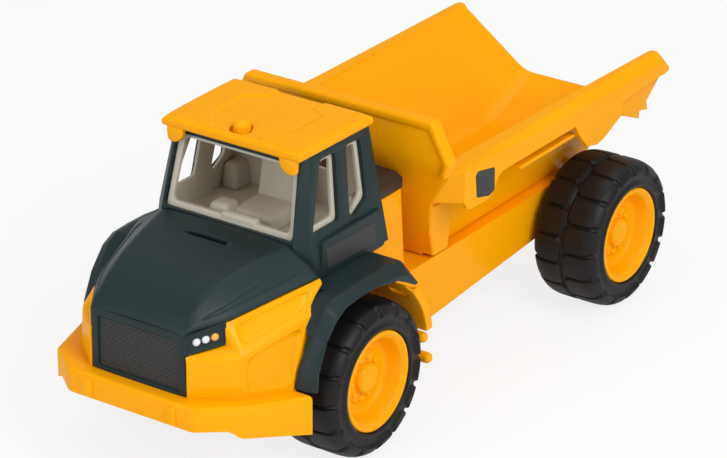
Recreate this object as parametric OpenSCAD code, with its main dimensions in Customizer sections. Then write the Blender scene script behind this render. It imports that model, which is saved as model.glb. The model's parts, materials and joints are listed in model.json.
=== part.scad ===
// Moulded toy dump truck: +X forward, +Y left, +Z up, floor at z = 0, millimetres

/* [Wheels] */
// Distance between the front and the rear axle
wheelbase = 189.3; // [180:0.1:196]
// Outer diameter of a tyre, to the tips of its tread blocks
tyre_d = 70.4; // [66:0.1:73]
// Width of a tyre
tyre_w = 34; // [30:0.5:36]
// Height of a tyre's wall, from its tread down to the wheel disc
sidewall = 12.4; // [10:0.1:14]
// Gap between the chassis and a tyre's inner face
wheel_gap = 2.3; // [1.5:0.1:4]
// Tread blocks in one row
lug_n = 16; // [12:1:18]
// Depth of the tread grooves
lug_h = 1.7; // [1:0.1:2.6]
// Width of the tread grooves
groove_w = 2.2; // [1.4:0.1:4]
// Diameter of the steel axles
axle_d = 4; // [3:0.1:5]
// Radial clearance between a wheel and its axle
axle_fit = 0.06; // [0.03:0.01:0.1]
// Wall of a wheel disc
rim_wall = 2.6; // [1.6:0.1:3.2]
// Depth of the dish in a wheel
dish_depth = 9; // [6:0.2:11]
// Bolt heads moulded round the hub
bolt_n = 10; // [6:1:12]

/* [Bumper and nose] */
// Nose ahead of the front axle
front_overhang = 90; // [87:0.2:94]
// Half width of the bumper's flat front
bumper_half_w = 33; // [30:0.5:36]
// Bumper's ledge above the axle line
ledge_up = 15.6; // [14:0.2:17]
// Height of the bumper's front face
bumper_h = 11.2; // [9:0.2:13]
// Fall of the ledge towards the bumper's ends
ledge_fall = 4.2; // [2:0.2:6]
// Bottom of the bumper's ends below the axle line
end_drop = 6.8; // [4:0.2:9]
// Height of the ribs proud of the bumper's front
bumper_rib = 0.8; // [0.4:0.1:1.4]
// Wall of the yellow mouldings
wall = 2.6; // [2:0.1:3]
// Setback of the grille behind the bumper's front
grille_setback = 7; // [5:0.5:8]
// Half width of the dark grille surround
grille_half_w = 25; // [23:0.5:27]
// Half width of the nose at its corner crease
crease_half_w = 43.3; // [42:0.2:45]
// Half width of the nose at the wheel arch
nose_half_w = 54.3; // [52:0.2:56]
// Step in the nose's sides above the axle line
step_up = 35.4; // [33:0.2:37]
// Width of that step
step_in = 0.9; // [0.4:0.1:1.6]

/* [Hood and fenders] */
// Hood at the windshield above the axle line
cowl_up = 64.4; // [62:0.2:67]
// Foot of the windshield ahead of the front axle
cowl_ahead = 21; // [19:0.2:23]
// Fall of the hood from the windshield to the grille
hood_fall = 19.6; // [18:0.2:22]
// Hood's lower edge at its rear end above the axle line
hood_edge_rear_up = 52.8; // [52:0.2:55]
// Hood's lower edge at the lamps above the axle line
hood_edge_front_up = 46.5; // [45.4:0.1:47.5]
// Half width of the hood's lower edge at its rear end
hood_rear_half_w = 48.6; // [46:0.2:50]
// Half width of the hood's lower edge at the lamps
lamp_half_w = 34.6; // [33:0.2:36]
// Half width of the hood between its soft creases at the windshield
hood_crease_half_w = 33; // [31:0.2:35]
// Underside of the lamp panels above the axle line
lamp_up = 36.6; // [35.6:0.1:37.6]
// Fall of that underside towards the grille
lamp_fall = 2.1; // [1.4:0.1:2.8]
// Head of the grille above the axle line
insert_up = 41; // [39:0.2:42]
// Diameter of a lamp
lamp_d = 3.7; // [3:0.1:4.4]
// Gap between a front tyre and the wheel arch
arch_gap = 9.1; // [7:0.1:10]
// Fender's edge inside the front tyre's outer face
fender_inset = 2.5; // [1:0.1:4]
// Width of the bevel along the fender's edge
fender_bevel = 4.8; // [3:0.1:6]

/* [Cab] */
// Rear of the cab behind the front axle
cab_back = 38; // [36:0.2:40]
// Half width of the cab at its foot
cab_half_w = 42.4; // [40:0.2:43.4]
// Half width of the cab under the roof
cab_top_half_w = 35.2; // [33:0.2:38]
// Cab under the roof above the axle line
cab_top_up = 100.3; // [97:0.2:104]
// Mouldings that the cab stands on above the axle line
tunnel_up = 49.3; // [47:0.2:50]
// Width of the cab's cut front corners at the hood
corner_cut = 5.2; // [3:0.1:6]
// Wall of the dark cab shell
shell_wall = 2.4; // [1.8:0.1:2.8]
// Wall of the light cab liner
liner_wall = 2; // [1.4:0.1:2.6]
// Window sills above the axle line
sill_up = 68.3; // [67.5:0.2:71]
// Window heads above the axle line
head_up = 96.6; // [92:0.2:97]
// Thickness of the roof
roof_t = 5.2; // [4:0.2:7]
// Depth of the panel sunk into the roof
roof_sunk = 0.7; // [0.4:0.1:1.2]
// Diameter of the beacon on the roof
beacon_d = 8; // [6:0.2:9]
// Height of the beacon
beacon_h = 5.8; // [4:0.2:7]

/* [Chassis] */
// Deck under the bed above the axle line
deck_up = 21.8; // [20:0.2:23]
// Half width of the chassis frame
frame_half_w = 39.1; // [36:0.1:41]
// Half width of the chassis between the front wheels
tunnel_half_w = 29; // [27:0.1:30]
// Underside of the frame at the cab, below the axle line
frame_drop = 10; // [8:0.2:12]
// Rise of the frame's underside towards the rear axle
frame_rise = 11; // [8:0.2:13]
// Half width of the box behind the cab
box_half_w = 34.5; // [32:0.2:36]
// Box behind the cab above the axle line
box_up = 60.8; // [58:0.2:62]
// Height of the dark cover on that box
cover_h = 8; // [6:0.2:9]
// Diameter of the two step pegs behind each front wheel
peg_d = 5; // [4:0.1:5.6]

/* [Bed] */
// Tail of the bed behind the rear axle
rear_overhang = 58.7; // [55:0.2:62]
// Gap between the deck and the bed's underside
bed_gap = 0.4; // [0.2:0.1:0.8]
// Wall of the bed
bed_wall = 2.8; // [2.2:0.1:3.2]
// Half width of the bed's flat floor
floor_half_w = 23.5; // [20:0.2:25]
// Height of the side rails above the bed's underside
rail_h = 49.5; // [47:0.2:52]
// Half width over the side rails
rail_half_w = 58.5; // [57:0.2:61]
// Width of the rails' flat tops
rail_w = 10.5; // [9:0.1:12]
// Depth of the band under each rail
band_h = 9.8; // [8:0.1:12]
// Narrowing of the rails towards the tail
tail_flare = 5; // [2:0.2:6]
// Height of the headboard above the rails
board_h = 24; // [20:0.5:28]
// Half width of the headboard at its top
head_half_w = 50; // [47:0.2:52]
// Width of the headboard's rim
rim_w = 12; // [9:0.2:13]
// Depth of the headboard's rim
rim_h = 4.4; // [3:0.1:6]
// Foot of the bed's front wall behind the cab
bed_back = 38.5; // [37.5:0.2:42]
// Lean of the bed's front wall
bed_lean = 17.5; // [15:0.2:18]
// Rise of the floor at the tail
chute_rise = 16.3; // [12:0.1:18]
// Length of the rising chute
chute_len = 32; // [28:0.2:36]
// Slope of the rails' ends, along the truck
tail_cut = 9; // [6:0.2:12]
// Bed pivot behind the rear axle
pivot_back = 19.7; // [17:0.1:22]
// Bed pivot below the bed's underside
pivot_drop = 6.8; // [6.6:0.1:8]
// Diameter of the hinge pin
pin_d = 4; // [3:0.1:4.6]
// Width of a hinge lug
hinge_w = 8; // [5:0.5:10]

/* [Fits] */
// Gap between mouldings that are clipped together
seat_gap = 0.2; // [0.1:0.05:0.3]

/* [Hidden] */
$fn = 48;
eps = 0.01;
// A length that is larger than the truck, for cuts
far = 200;
yellow = "#f7ae08";
dark = "#26353a";
liner_grey = "#b4b0a4";

// Places along the truck, from the middle of its length
nose_x = (front_overhang + wheelbase + rear_overhang) / 2;
front_axle_x = nose_x - front_overhang;
rear_axle_x = front_axle_x - wheelbase;
tail_x = rear_axle_x - rear_overhang;
grille_x = nose_x - grille_setback;
lamp_x = grille_x - 16;
crease_x = grille_x - 15;
cowl_x = front_axle_x + cowl_ahead;
cab_x0 = front_axle_x - cab_back;
deck_x1 = front_axle_x - tyre_d / 2 - 2;
tunnel_x1 = lamp_x - 2;
bed_foot_x = cab_x0 - bed_back;
bed_head_x = bed_foot_x + bed_lean;
chute_x = tail_x + chute_len;
pivot_x = rear_axle_x - pivot_back;

// Heights, from the axle line
axle_z = tyre_d / 2;
ledge_z = axle_z + ledge_up;
step_z = axle_z + step_up;
cowl_z = axle_z + cowl_up;
hood_edge_rear_z = axle_z + hood_edge_rear_up;
hood_edge_front_z = axle_z + hood_edge_front_up;
tunnel_z = axle_z + tunnel_up;
cab_z0 = tunnel_z + seat_gap;
cab_top_z = axle_z + cab_top_up;
sill_z = axle_z + sill_up;
head_z = axle_z + head_up;
deck_z = axle_z + deck_up;
frame_z0 = axle_z - frame_drop;
box_z = axle_z + box_up;
bed_z0 = deck_z + bed_gap;
floor_z = bed_z0 + bed_wall;
rail_z = bed_z0 + rail_h;
band_z = rail_z - band_h;
head_board_z = rail_z + board_h;
pivot_z = bed_z0 - pivot_drop;

// Widths
front_half_w = tunnel_half_w + wheel_gap + tyre_w;
rear_half_w = frame_half_w + wheel_gap + tyre_w;
arch_r = tyre_d / 2 + arch_gap;
fender_half_w = front_half_w - fender_inset;
bumper_end_w = fender_half_w - seat_gap;
inner_top_w = rail_half_w - rail_w;

// Helpers

module both() {
  children();
  mirror([0, 1, 0]) children();
}

// Outline in x and z, drawn out from y0 to y1
module along_y(y0, y1) {
  translate([0, y1, 0]) rotate([90, 0, 0]) linear_extrude(y1 - y0) children();
}

// Outline in y and z, drawn out from x0 to x1
module along_x(x0, x1) {
  translate([x0, 0, 0]) rotate([90, 0, 90]) linear_extrude(x1 - x0) children();
}

// Rectangle in y and z about the middle
module square_yz(half, z0, z1) { translate([-half, z0]) square([2 * half, z1 - z0]); }

// Round bar or hole across the truck
module cross_bar(x, z, d, y0, y1) {
  translate([x, y0, z]) rotate([-90, 0, 0]) cylinder(d = d, h = y1 - y0);
}

// Solid skinned over rings of points; each ring runs anticlockwise seen from the last one
module loft(rings, band = false) {
  n = len(rings[0]);
  m = len(rings);
  points = [for (r = rings) each r];
  // A band runs out along one edge and back along the other, so its end is closed in four-sided pieces
  function end(k) = band
    ? [for (i = [0 : n / 2 - 2]) [k + i, k + i + 1, k + n - 2 - i, k + n - 1 - i]]
    : [[for (i = [0 : n - 1]) k + i]];
  last = [for (f = end((m - 1) * n)) [for (i = [len(f) - 1 : -1 : 0]) f[i]]];
  sides = [
    for (k = [0 : m - 2], i = [0 : n - 1])
      let (j = (i + 1) % n, a = k * n + i, b = k * n + j, c = a + n, d = b + n)
        each [[c, d, b], [c, b, a]]
  ];
  polyhedron(points, concat(end(0), last, sides), convexity = 8);
}

// Ring across the truck at x from the points of its left half, foot first
function ring_x(x, half) = concat(
  [for (p = half) [x, p.x, p.y]],
  [for (i = [len(half) - 1 : -1 : 0]) [x, -half[i].x, half[i].y]]
);

// Rectangle at height z between x0 and x1, half width w
function ring_z(z, x0, x1, w) = [[x0, -w, z], [x1, -w, z], [x1, w, z], [x0, w, z]];

function mix(a, b, t) = a + (b - a) * t;

// Wheels

rim_r = tyre_d / 2 - sidewall;
bore_r = rim_r + 0.1;
hub_r = axle_d / 2 + axle_fit + 3.4;
// Wheel disc's faces inside the tyre's
rim_inset = 0.8;

module tyre_profile() {
  r = tyre_d / 2;
  half = [[bore_r, 1], [bore_r + 1.2, 0], [r - 6, 0.3], [r - 2.4, 1.3], [r - 0.6, 3.8], [r, 8]];
  polygon(concat(half, [for (i = [len(half) - 1 : -1 : 0]) [half[i].x, tyre_w - half[i].y]]));
}

// One tread groove from near the tyre's middle over the shoulder
module groove() {
  r = tyre_d / 2;
  middle = tyre_w / 2 - groove_w / 2;
  translate([r - lug_h, -groove_w / 2, middle]) cube([lug_h + 1, groove_w, tyre_w]);
  translate([r - 3 * lug_h, -groove_w / 2, tyre_w - lug_h]) cube([4 * lug_h, groove_w, 2 * lug_h]);
}

// Tyre with its outer face at y = 0, on the left side of the truck
module tyre() {
  pitch = 360 / lug_n;
  color("#1b1b1d") translate([0, -tyre_w, 0]) rotate([-90, 0, 0]) difference() {
    rotate_extrude($fn = 72) tyre_profile();
    for (i = [0 : lug_n - 1]) rotate([0, 0, i * pitch]) {
      groove();
      rotate([0, 0, pitch / 2]) translate([0, 0, tyre_w]) mirror([0, 0, 1]) groove();
    }
  }
}

module rim() {
  w = tyre_w - 2 * rim_inset;
  face = w - dish_depth;
  ring_r = 0.55 * rim_r;
  cap_r = 0.31 * rim_r;
  bolt_r = 0.44 * rim_r;
  ring_h = 1.6;
  cap_h = 4.6;
  color(yellow) translate([0, rim_inset - tyre_w, 0]) rotate([-90, 0, 0]) difference() {
    union() {
      rotate_extrude($fn = 72) polygon([
        [0, 0], [hub_r, 0], [hub_r, face - rim_wall], [rim_r - rim_wall, face - rim_wall], [rim_r - rim_wall, 0],
        [rim_r, 0], [rim_r, w], [rim_r - 1.8, w], [rim_r - 3.2, w - 1.2], [rim_r - 5.8, face], [ring_r, face],
        [ring_r - 0.6, face + ring_h], [cap_r + 0.6, face + ring_h], [cap_r, face + cap_h], [0, face + cap_h]
      ]);
      for (i = [0 : bolt_n - 1]) rotate([0, 0, i * 360 / bolt_n])
        translate([bolt_r, 0, face]) cylinder(d = 2.8, h = ring_h + 1.2, $fn = 16);
    }
    translate([0, 0, -1]) cylinder(r = axle_d / 2 + axle_fit, h = face + 2);
  }
}

// Places a left wheel, or its mirror image on the right
module at_wheel(x, half_w, side) {
  if (side > 0) translate([x, half_w, axle_z]) children();
  else mirror([0, 1, 0]) translate([x, half_w, axle_z]) children();
}

module tyre_front_left() { at_wheel(front_axle_x, front_half_w, 1) tyre(); }
module tyre_front_right() { at_wheel(front_axle_x, front_half_w, -1) tyre(); }
module tyre_rear_left() { at_wheel(rear_axle_x, rear_half_w, 1) tyre(); }
module tyre_rear_right() { at_wheel(rear_axle_x, rear_half_w, -1) tyre(); }
module rim_front_left() { at_wheel(front_axle_x, front_half_w, 1) rim(); }
module rim_front_right() { at_wheel(front_axle_x, front_half_w, -1) rim(); }
module rim_rear_left() { at_wheel(rear_axle_x, rear_half_w, 1) rim(); }
module rim_rear_right() { at_wheel(rear_axle_x, rear_half_w, -1) rim(); }

// Half length of an axle, into the blind bore of the wheel disc
function axle_half(half_w) = half_w - rim_inset - dish_depth + 0.6;
// Inner face of a wheel disc
function wheel_in(half_w) = half_w - tyre_w + rim_inset;

module front_axle() {
  half = axle_half(front_half_w);
  color("silver") cross_bar(front_axle_x, axle_z, axle_d, -half, half);
}
module rear_axle() {
  half = axle_half(rear_half_w);
  color("silver") cross_bar(rear_axle_x, axle_z, axle_d, -half, half);
}

// Chassis

// Half thickness of the frame's tail round the hinge pin
boss_r = pivot_drop - bed_gap;
carrier_d = axle_d + 7;
// Play of the fixed steel bars in their holes
bar_play = 0.1;
// Hinge bay's front wall ahead of the pivot, and cross rib ahead of the rear axle
bay_len = 16;
rib_ahead = 30;

// Underside of the frame at x
function frame_under(x) = frame_z0 + frame_rise * (cab_x0 - x) / (cab_x0 - rear_axle_x);
// Rear face of the box at height z, clear of the bed's leaning front wall
function box_x0(z) = bed_front_x(box_z + cover_h) + 1.2 - (box_z - z) * 0.07;

module frame_side_outline() {
  low = axle_z - carrier_d / 2;
  polygon([
    [deck_x1, deck_z], [pivot_x, deck_z], [pivot_x - boss_r, pivot_z], [pivot_x, pivot_z - boss_r],
    [rear_axle_x - carrier_d, low + 4], [rear_axle_x - carrier_d / 2, low], [rear_axle_x + carrier_d, low],
    [rear_axle_x + 2 * carrier_d, frame_under(rear_axle_x + 2 * carrier_d)], [deck_x1, frame_under(deck_x1)]
  ]);
}

module tunnel_outline(inset) {
  low = inset > 0 ? far : 0;
  nose_z = hood_edge_front_z - wall;
  polygon([
    [deck_x1 - wall - low, tunnel_z - inset], [cowl_x - inset, tunnel_z - inset],
    [cowl_x + 4 - inset, nose_z - inset], [tunnel_x1 - inset, nose_z - inset],
    [tunnel_x1 - inset, ledge_z - bumper_h - low], [front_axle_x + carrier_d, axle_z - carrier_d / 2 - low],
    [deck_x1 - wall - low, frame_under(deck_x1) - low]
  ]);
}

module box_behind_cab(inset, z0) {
  x1 = cab_x0 - seat_gap - inset;
  w = box_half_w - inset;
  z1 = box_z - inset;
  cut = 2.4;
  function plan(z) =
    let (x0 = box_x0(z) + inset)
      [[x0, cut - w, z], [x0 + cut, -w, z], [x1, -w, z], [x1, w, z], [x0 + cut, w, z], [x0, w - cut, z]];
  loft([plan(z0), plan(z1)]);
}

module chassis_frame() {
  bay_x = pivot_x + bay_len;
  color(yellow) difference() {
    union() {
      // rear frame, open below and open above round the hinge
      difference() {
        union() {
          along_y(-frame_half_w, frame_half_w) frame_side_outline();
          cross_bar(pivot_x, pivot_z, 2 * boss_r, -frame_half_w, frame_half_w);
        }
        along_y(wall - frame_half_w, frame_half_w - wall) polygon([
          [deck_x1 - wall, deck_z - wall], [bay_x, deck_z - wall], [bay_x, deck_z + 1],
          [pivot_x - bay_len, deck_z + 1], [pivot_x - bay_len, 0], [deck_x1 - wall, 0]
        ]);
      }
      for (x = [bay_x, rear_axle_x + rib_ahead])
        along_x(x, x + wall) square_yz(frame_half_w - wall / 2, axle_z + 2, deck_z - wall / 2);
      // tunnel between the front wheels
      difference() {
        along_y(-tunnel_half_w, tunnel_half_w) tunnel_outline(0);
        along_y(wall - tunnel_half_w, tunnel_half_w - wall) tunnel_outline(wall);
      }
      along_x(deck_x1 - 2 * wall, deck_x1) square_yz(frame_half_w - wall / 2, frame_z0 + 2 * wall, deck_z);
      box_behind_cab(0, deck_z - 1);
      both() {
        housing();
        cross_bar(front_axle_x, axle_z, carrier_d, tunnel_half_w - 3 * wall, wheel_in(front_half_w) - 0.4);
        cross_bar(rear_axle_x, axle_z, carrier_d, frame_half_w - 3 * wall, wheel_in(rear_half_w) - 0.4);
        step_pegs();
      }
    }
    box_behind_cab(wall, deck_z - 2 * wall);
    cross_bar(front_axle_x, axle_z, axle_d + bar_play, -front_half_w, front_half_w);
    cross_bar(rear_axle_x, axle_z, axle_d + bar_play, -rear_half_w, rear_half_w);
    cross_bar(pivot_x, pivot_z, pin_d + bar_play, -frame_half_w - 1, frame_half_w + 1);
  }
}

// Wheel housing behind the front wheel, with a slot and an outer lip
module housing() {
  y0 = tunnel_half_w - wall / 2;
  y1 = fender_half_w - 1.8;
  lip_w = 2.2;
  lip_r = arch_r + 2.4;
  r1 = arch_r - seat_gap;
  slot_a = 142;
  slot = [8, 8.4, 4.4];
  difference() {
    intersection() {
      union() {
        cross_bar(front_axle_x, axle_z, 2 * r1, y0, y1);
        cross_bar(front_axle_x, axle_z, 2 * lip_r, y1 - lip_w, y1);
      }
      along_y(0, far) translate([front_axle_x, axle_z]) polygon([
        [-0.5 * arch_r, 0.5 * arch_r], [-0.62 * arch_r, 0.14 * arch_r], [-far, 0.14 * arch_r],
        [-far, 0.68 * arch_r], [-0.72 * arch_r, 0.68 * arch_r], [-0.58 * arch_r, 0.78 * arch_r]
      ]);
    }
    cross_bar(front_axle_x, axle_z, 2 * (r1 - 2), y0 - 1, y1 + 1);
    translate([front_axle_x, mix(y0, y1, 0.72), axle_z]) rotate([0, -slot_a, 0])
      translate([r1, 0, 0]) cube(slot, center = true);
  }
}

module step_pegs() {
  y1 = fender_half_w - 3.8;
  back = front_axle_x - tyre_d / 2;
  for (p = [[back - 5.5, axle_z + 3.2], [back - 9.3, axle_z - 8.4]]) {
    cross_bar(p.x, p.y, peg_d, frame_half_w - wall / 2, y1);
    translate([p.x, y1, p.y]) sphere(d = peg_d, $fn = 24);
  }
}

module bed_pin() {
  color("silver") cross_bar(pivot_x, pivot_z, pin_d, -frame_half_w, frame_half_w);
}

// Front body: bumper and nose cheeks

corner_x = nose_x - 12.4;
arch_x = crease_x - 27.5;
ext_x = front_axle_x + arch_r - seat_gap;

module bumper_plan(inset) {
  e = inset;
  front = nose_x - bumper_rib - e;
  half = [
    [ext_x + e, bumper_end_w - e], [corner_x - e, 49 - 0.6 * e], [corner_x + 1.8 - e, 45.2 - 0.6 * e],
    [front, bumper_half_w - 0.4 * e]
  ];
  polygon(concat(half, [for (i = [len(half) - 1 : -1 : 0]) [half[i].x, -half[i].y]]));
}

// Bumper seen from the side: the ends hang lower than the front
module bumper_side() {
  polygon([
    [ext_x - 1, ledge_z - ledge_fall], [corner_x, ledge_z], [nose_x + 1, ledge_z],
    [nose_x + 1, ledge_z - bumper_h], [corner_x + 1.8, ledge_z - bumper_h],
    [corner_x, ledge_z - bumper_h - 3], [ext_x - 1, axle_z - end_drop]
  ]);
}

module front_body() {
  color(yellow) {
    difference() {
      intersection() {
        linear_extrude(far) bumper_plan(0);
        along_y(-far, far) bumper_side();
      }
      intersection() {
        linear_extrude(far) bumper_plan(wall);
        translate([0, 0, -wall]) along_y(-far, far) bumper_side();
      }
      // open behind, and clear of the chassis
      along_x(ext_x - 1, tunnel_x1 + seat_gap) square_yz(tunnel_half_w + seat_gap, 0, far);
    }
    // two ribs on the bumper's front
    both() along_x(nose_x - 2 * bumper_rib - wall / 2, nose_x)
      translate([20, ledge_z - bumper_h + 0.4]) square([4.6, bumper_h - 2.4]);
    both() cheek();
  }
}

// Side of the lamp panel, from the grille to the hood's edge
function lamp_y(x) = mix(lamp_half_w, grille_half_w - 0.4, (x - lamp_x) / (grille_x - lamp_x));
// Underside of the lamp panel
function lamp_z0(x) = axle_z + lamp_up - lamp_fall * (x - lamp_x) / (grille_x - lamp_x);
// Lower edge of the hood at x
function hood_edge_z(x) = mix(hood_edge_rear_z, hood_edge_front_z, (x - cowl_x) / (lamp_x - cowl_x));
function hood_edge_y(x) = mix(hood_rear_half_w, lamp_half_w, (x - cowl_x) / (lamp_x - cowl_x));

// Nose between the ledge and the hood: upright below the step, leaning in above it
module nose_block(inset) {
  // a hollow runs out at the foot, the top and the rear
  over = max(0, inset);
  z1 = hood_edge_rear_z + 1;
  zs = step_z + step_in;
  xs = [cowl_x - 1 - over, arch_x, crease_x - inset / 2, grille_x - 1.6 * inset];
  foot = [nose_half_w + 1, nose_half_w, crease_half_w, grille_half_w + 0.5];
  edge = [hood_edge_y(cowl_x), hood_edge_y(arch_x), hood_edge_y(crease_x), grille_half_w];
  below = [for (i = [0 : 3]) mix(foot[i], edge[i], 0.12)];
  above = [for (i = [0 : 3]) below[i] - (i < 3 ? step_in : 0.1)];
  top = [for (i = [0 : 3]) mix(above[i], edge[i], (z1 - zs) / (hood_edge_z(xs[i]) - zs))];
  function plan(z, ws) = concat(
    [for (i = [0 : 3]) [xs[i], inset - ws[i], z]], [for (i = [3 : -1 : 0]) [xs[i], ws[i] - inset, z]]
  );
  low = ledge_z - ledge_fall - 1 - over;
  loft([plan(low, foot), plan(step_z, below), plan(zs, above), plan(z1 + over, top)]);
}

// One side of the nose
module cheek() {
  x0 = cowl_x - wall;
  x2 = lamp_x - seat_gap;
  x3 = grille_x + wall;
  difference() {
    nose_block(0);
    nose_block(wall);
    translate([0, -far, 0]) cube([far, far + grille_half_w + 0.5, far]);
    // above the hood's edge and behind the lamp panel
    along_y(-1, far) polygon([
      [x0, hood_edge_z(x0) - seat_gap], [x2, hood_edge_z(x2) - seat_gap], [x2, lamp_z0(x2) - seat_gap],
      [x3, lamp_z0(x3) - seat_gap], [x3, far], [x0, far]
    ]);
    // wheel arch
    arch_cut();
  }
}

// Hood, with the lamp panels and the grille's surround

hood_steps = [0, 0.32, 0.6, 0.8, 0.92, 1];
hood_shares = [0, 0.08, 0.23, 0.45, 0.7, 1];
surround_t = 3;
surround_w = 4;
surround_z = cowl_z - hood_fall - 0.6;
insert_z = axle_z + insert_up;
slot_x = cowl_x + 13.6;

function hood_x(i) = mix(cowl_x + seat_gap, grille_x - 0.6, hood_steps[i]);
function hood_z(i) = cowl_z - hood_fall * hood_shares[i];
function hood_crease(i) = mix(hood_crease_half_w, grille_half_w - 3, hood_steps[i]);
function hood_half(i) =
  let (x = hood_x(i), y = hood_crease(i), z = hood_z(i), front = x > lamp_x,
       ye = front ? lamp_y(x) - 0.6 : hood_edge_y(x), ze = min(hood_edge_z(x), z - 2.6))
    [[grille_half_w - 8, ze], [ye, ze], [ye - 0.4, min(ze + 1.4, z - 1)], [y, z], [0.5 * y, z + 0.7]];
// Hollow under the hood
function hood_hollow(i) =
  let (x = min(hood_x(i), lamp_x - wall), y = hood_crease(i), z = hood_z(i))
    [[hood_edge_y(x) - 2 * wall, hood_edge_z(x) - 1], [y - wall, z - wall], [0.5 * y, z - wall]];

module hood() {
  color(dark) difference() {
    union() {
      loft([for (i = [0 : len(hood_steps) - 1]) ring_x(hood_x(i), hood_half(i))]);
      both() lamp_panel();
      along_x(grille_x - surround_t, grille_x) square_yz(grille_half_w - 0.6, ledge_z + seat_gap, surround_z);
    }
    loft([
      ring_x(cowl_x - 1, hood_hollow(0)), ring_x(hood_x(1), hood_hollow(1)), ring_x(hood_x(2), hood_hollow(2)),
      ring_x(lamp_x - wall, hood_hollow(3))
    ]);
    // recess for the grille
    along_x(grille_x - 2, grille_x + 1) square_yz(grille_half_w - surround_w, ledge_z + 1.4, insert_z);
    // slot in front of the windshield
    translate([slot_x - 1.6, -10.6, hood_z(2)]) cube([3.2, 21.2, far]);
  }
}

// Panel for the lamps at a corner of the nose
module lamp_panel() {
  x1 = grille_x - 0.3;
  back = grille_half_w - 10;
  z1 = hood_edge_front_z + 0.4;
  intersection() {
    linear_extrude(z1) polygon([[x1, back], [x1, lamp_y(x1)], [lamp_x, lamp_y(lamp_x)], [lamp_x, back]]);
    along_y(0, far) polygon([
      [lamp_x - 1, lamp_z0(lamp_x - 1)], [grille_x + 1, lamp_z0(grille_x + 1)],
      [grille_x + 1, surround_z - 2], [lamp_x - 1, z1 + 1]
    ]);
  }
}

module grille() {
  z0 = ledge_z + 1.6;
  z1 = insert_z - seat_gap;
  rows = 14;
  pitch = (z1 - z0) / rows;
  half = grille_half_w - surround_w - seat_gap;
  color("#4a4744") difference() {
    along_x(grille_x - 1.9, grille_x - 0.3) square_yz(half, z0, z1);
    for (i = [1 : rows - 1])
      along_x(grille_x - 0.9, grille_x) square_yz(half - 1.2, z0 + i * pitch - 0.25, z0 + i * pitch + 0.25);
  }
}

// Lamp k on the panel, square to it
module lamp_at(k) {
  t = [0.3, 0.52, 0.74][k];
  x = mix(grille_x, lamp_x, t);
  out = atan2(lamp_x - grille_x, lamp_y(grille_x) - lamp_y(lamp_x));
  translate([x, lamp_y(x), lamp_z0(x) + 4.6]) rotate([0, 0, out + 180]) rotate([0, 90, 0])
    translate([0, 0, 0.05]) cylinder(d = lamp_d, h = 0.8, $fn = 24);
}
module head_lamps() { color("white") both() { lamp_at(0); lamp_at(1); } }
module turn_lamps() { color("orange") both() lamp_at(2); }

// Fenders

foot_z = ledge_z - ledge_fall + 0.5;
// Arch and ridge from the foot over the brow to the heel, about the axle in shares of the arch's radius
foot_share = (foot_z - axle_z) / arch_r;
arch_path = [
  [0.945, foot_share], [0.925, 0.45], [0.797, 0.707], [0.62, 0.89], [0.47, 0.965], [0.25, 0.984], [0, 0.982],
  [-0.39, 0.91], [-0.55, 0.83], [-0.68, 0.755]
];
ridge_path = [
  [1.025, foot_share], [0.975, 0.46], [0.825, 0.8], [0.667, 1.01], [0.528, 1.07], [0.25, 1.074], [0, 1.074],
  [-0.384, 1.064], [-0.57, 1.04], [-0.806, 0.758]
];

// Opening over the wheel, from the truck's middle outwards
module arch_cut() {
  low = [[arch_path[9].x, -1], [arch_path[0].x, -1]];
  along_y(tunnel_half_w, far) translate([front_axle_x, axle_z]) polygon(arch_r * concat(arch_path, low));
}

module fender() {
  // share of the way from the ridge down to the arch
  function outline(share) = concat(
    [for (i = [0 : 9]) mix(ridge_path[i], arch_path[i], share)], [for (i = [9 : -1 : 0]) arch_path[i]]
  );
  function ring(y, share) = [
    for (p = outline(share)) [front_axle_x + arch_r * p.x, y, axle_z + arch_r * p.y]
  ];
  color(dark) difference() {
    loft([
      ring(fender_half_w, 0.62), ring(fender_half_w - fender_bevel, 0), ring(cab_half_w + 0.6, 0)
    ], band = true);
    nose_block(-seat_gap);
  }
}
module fender_left() { fender(); }
module fender_right() { mirror([0, 1, 0]) fender(); }

// Cab

// Front of the cab at height z: upright to the hood, then leaning back
function cab_front(z) = z <= cowl_z ? cowl_x : cowl_x - (z - cowl_z) * 0.25;
function cab_side(z) = mix(cab_half_w, cab_top_half_w, (z - cab_z0) / (cab_top_z - cab_z0));
// Cut of the front corners, narrower towards the roof
function cab_cut(z) = corner_cut * mix(1, 0.45, max(0, (z - cowl_z) / (cab_top_z - cowl_z)));
module cab_block(inset, z0, z1) {
  function plan(z) =
    let (x0 = cab_x0 + inset, x1 = cab_front(z) - inset, w = cab_side(z) - inset, c = cab_cut(z))
      [[x0, -w, z], [x1 - c, -w, z], [x1, c - w, z], [x1, w - c, z], [x1 - c, w, z], [x0, w, z]];
  loft([for (z = [z0, cowl_z, z1]) plan(z)]);
}
// Windows: grow makes the opening larger or smaller all round
module side_windows(grow) {
  s = sill_z - grow;
  h = head_z + grow;
  along_y(-far, far) {
    polygon([
      [cab_x0 + 34.2 - grow, s], [cowl_x - 7.4 + grow, s], [cowl_x - 18.4 + grow, h], [cab_x0 + 30.2 - grow, h]
    ]);
    polygon([
      [cab_x0 + 15.8 - grow, sill_z + 4], [cab_x0 + 20.4, s], [cab_x0 + 25.2 + grow, s],
      [cab_x0 + 20.7 + grow, h], [cab_x0 + 13.4 - grow, h]
    ]);
  }
}
module windshield(grow) {
  z0 = cowl_z + 1.6 - grow;
  z1 = head_z + grow;
  foot = cab_side(cowl_z) - 9;
  head = cab_side(head_z) - 7.8;
  along_x(cowl_x - 30, cowl_x + 10)
    polygon([[-foot - grow, z0], [foot + grow, z0], [head + grow, z1], [-head - grow, z1]]);
}

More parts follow.
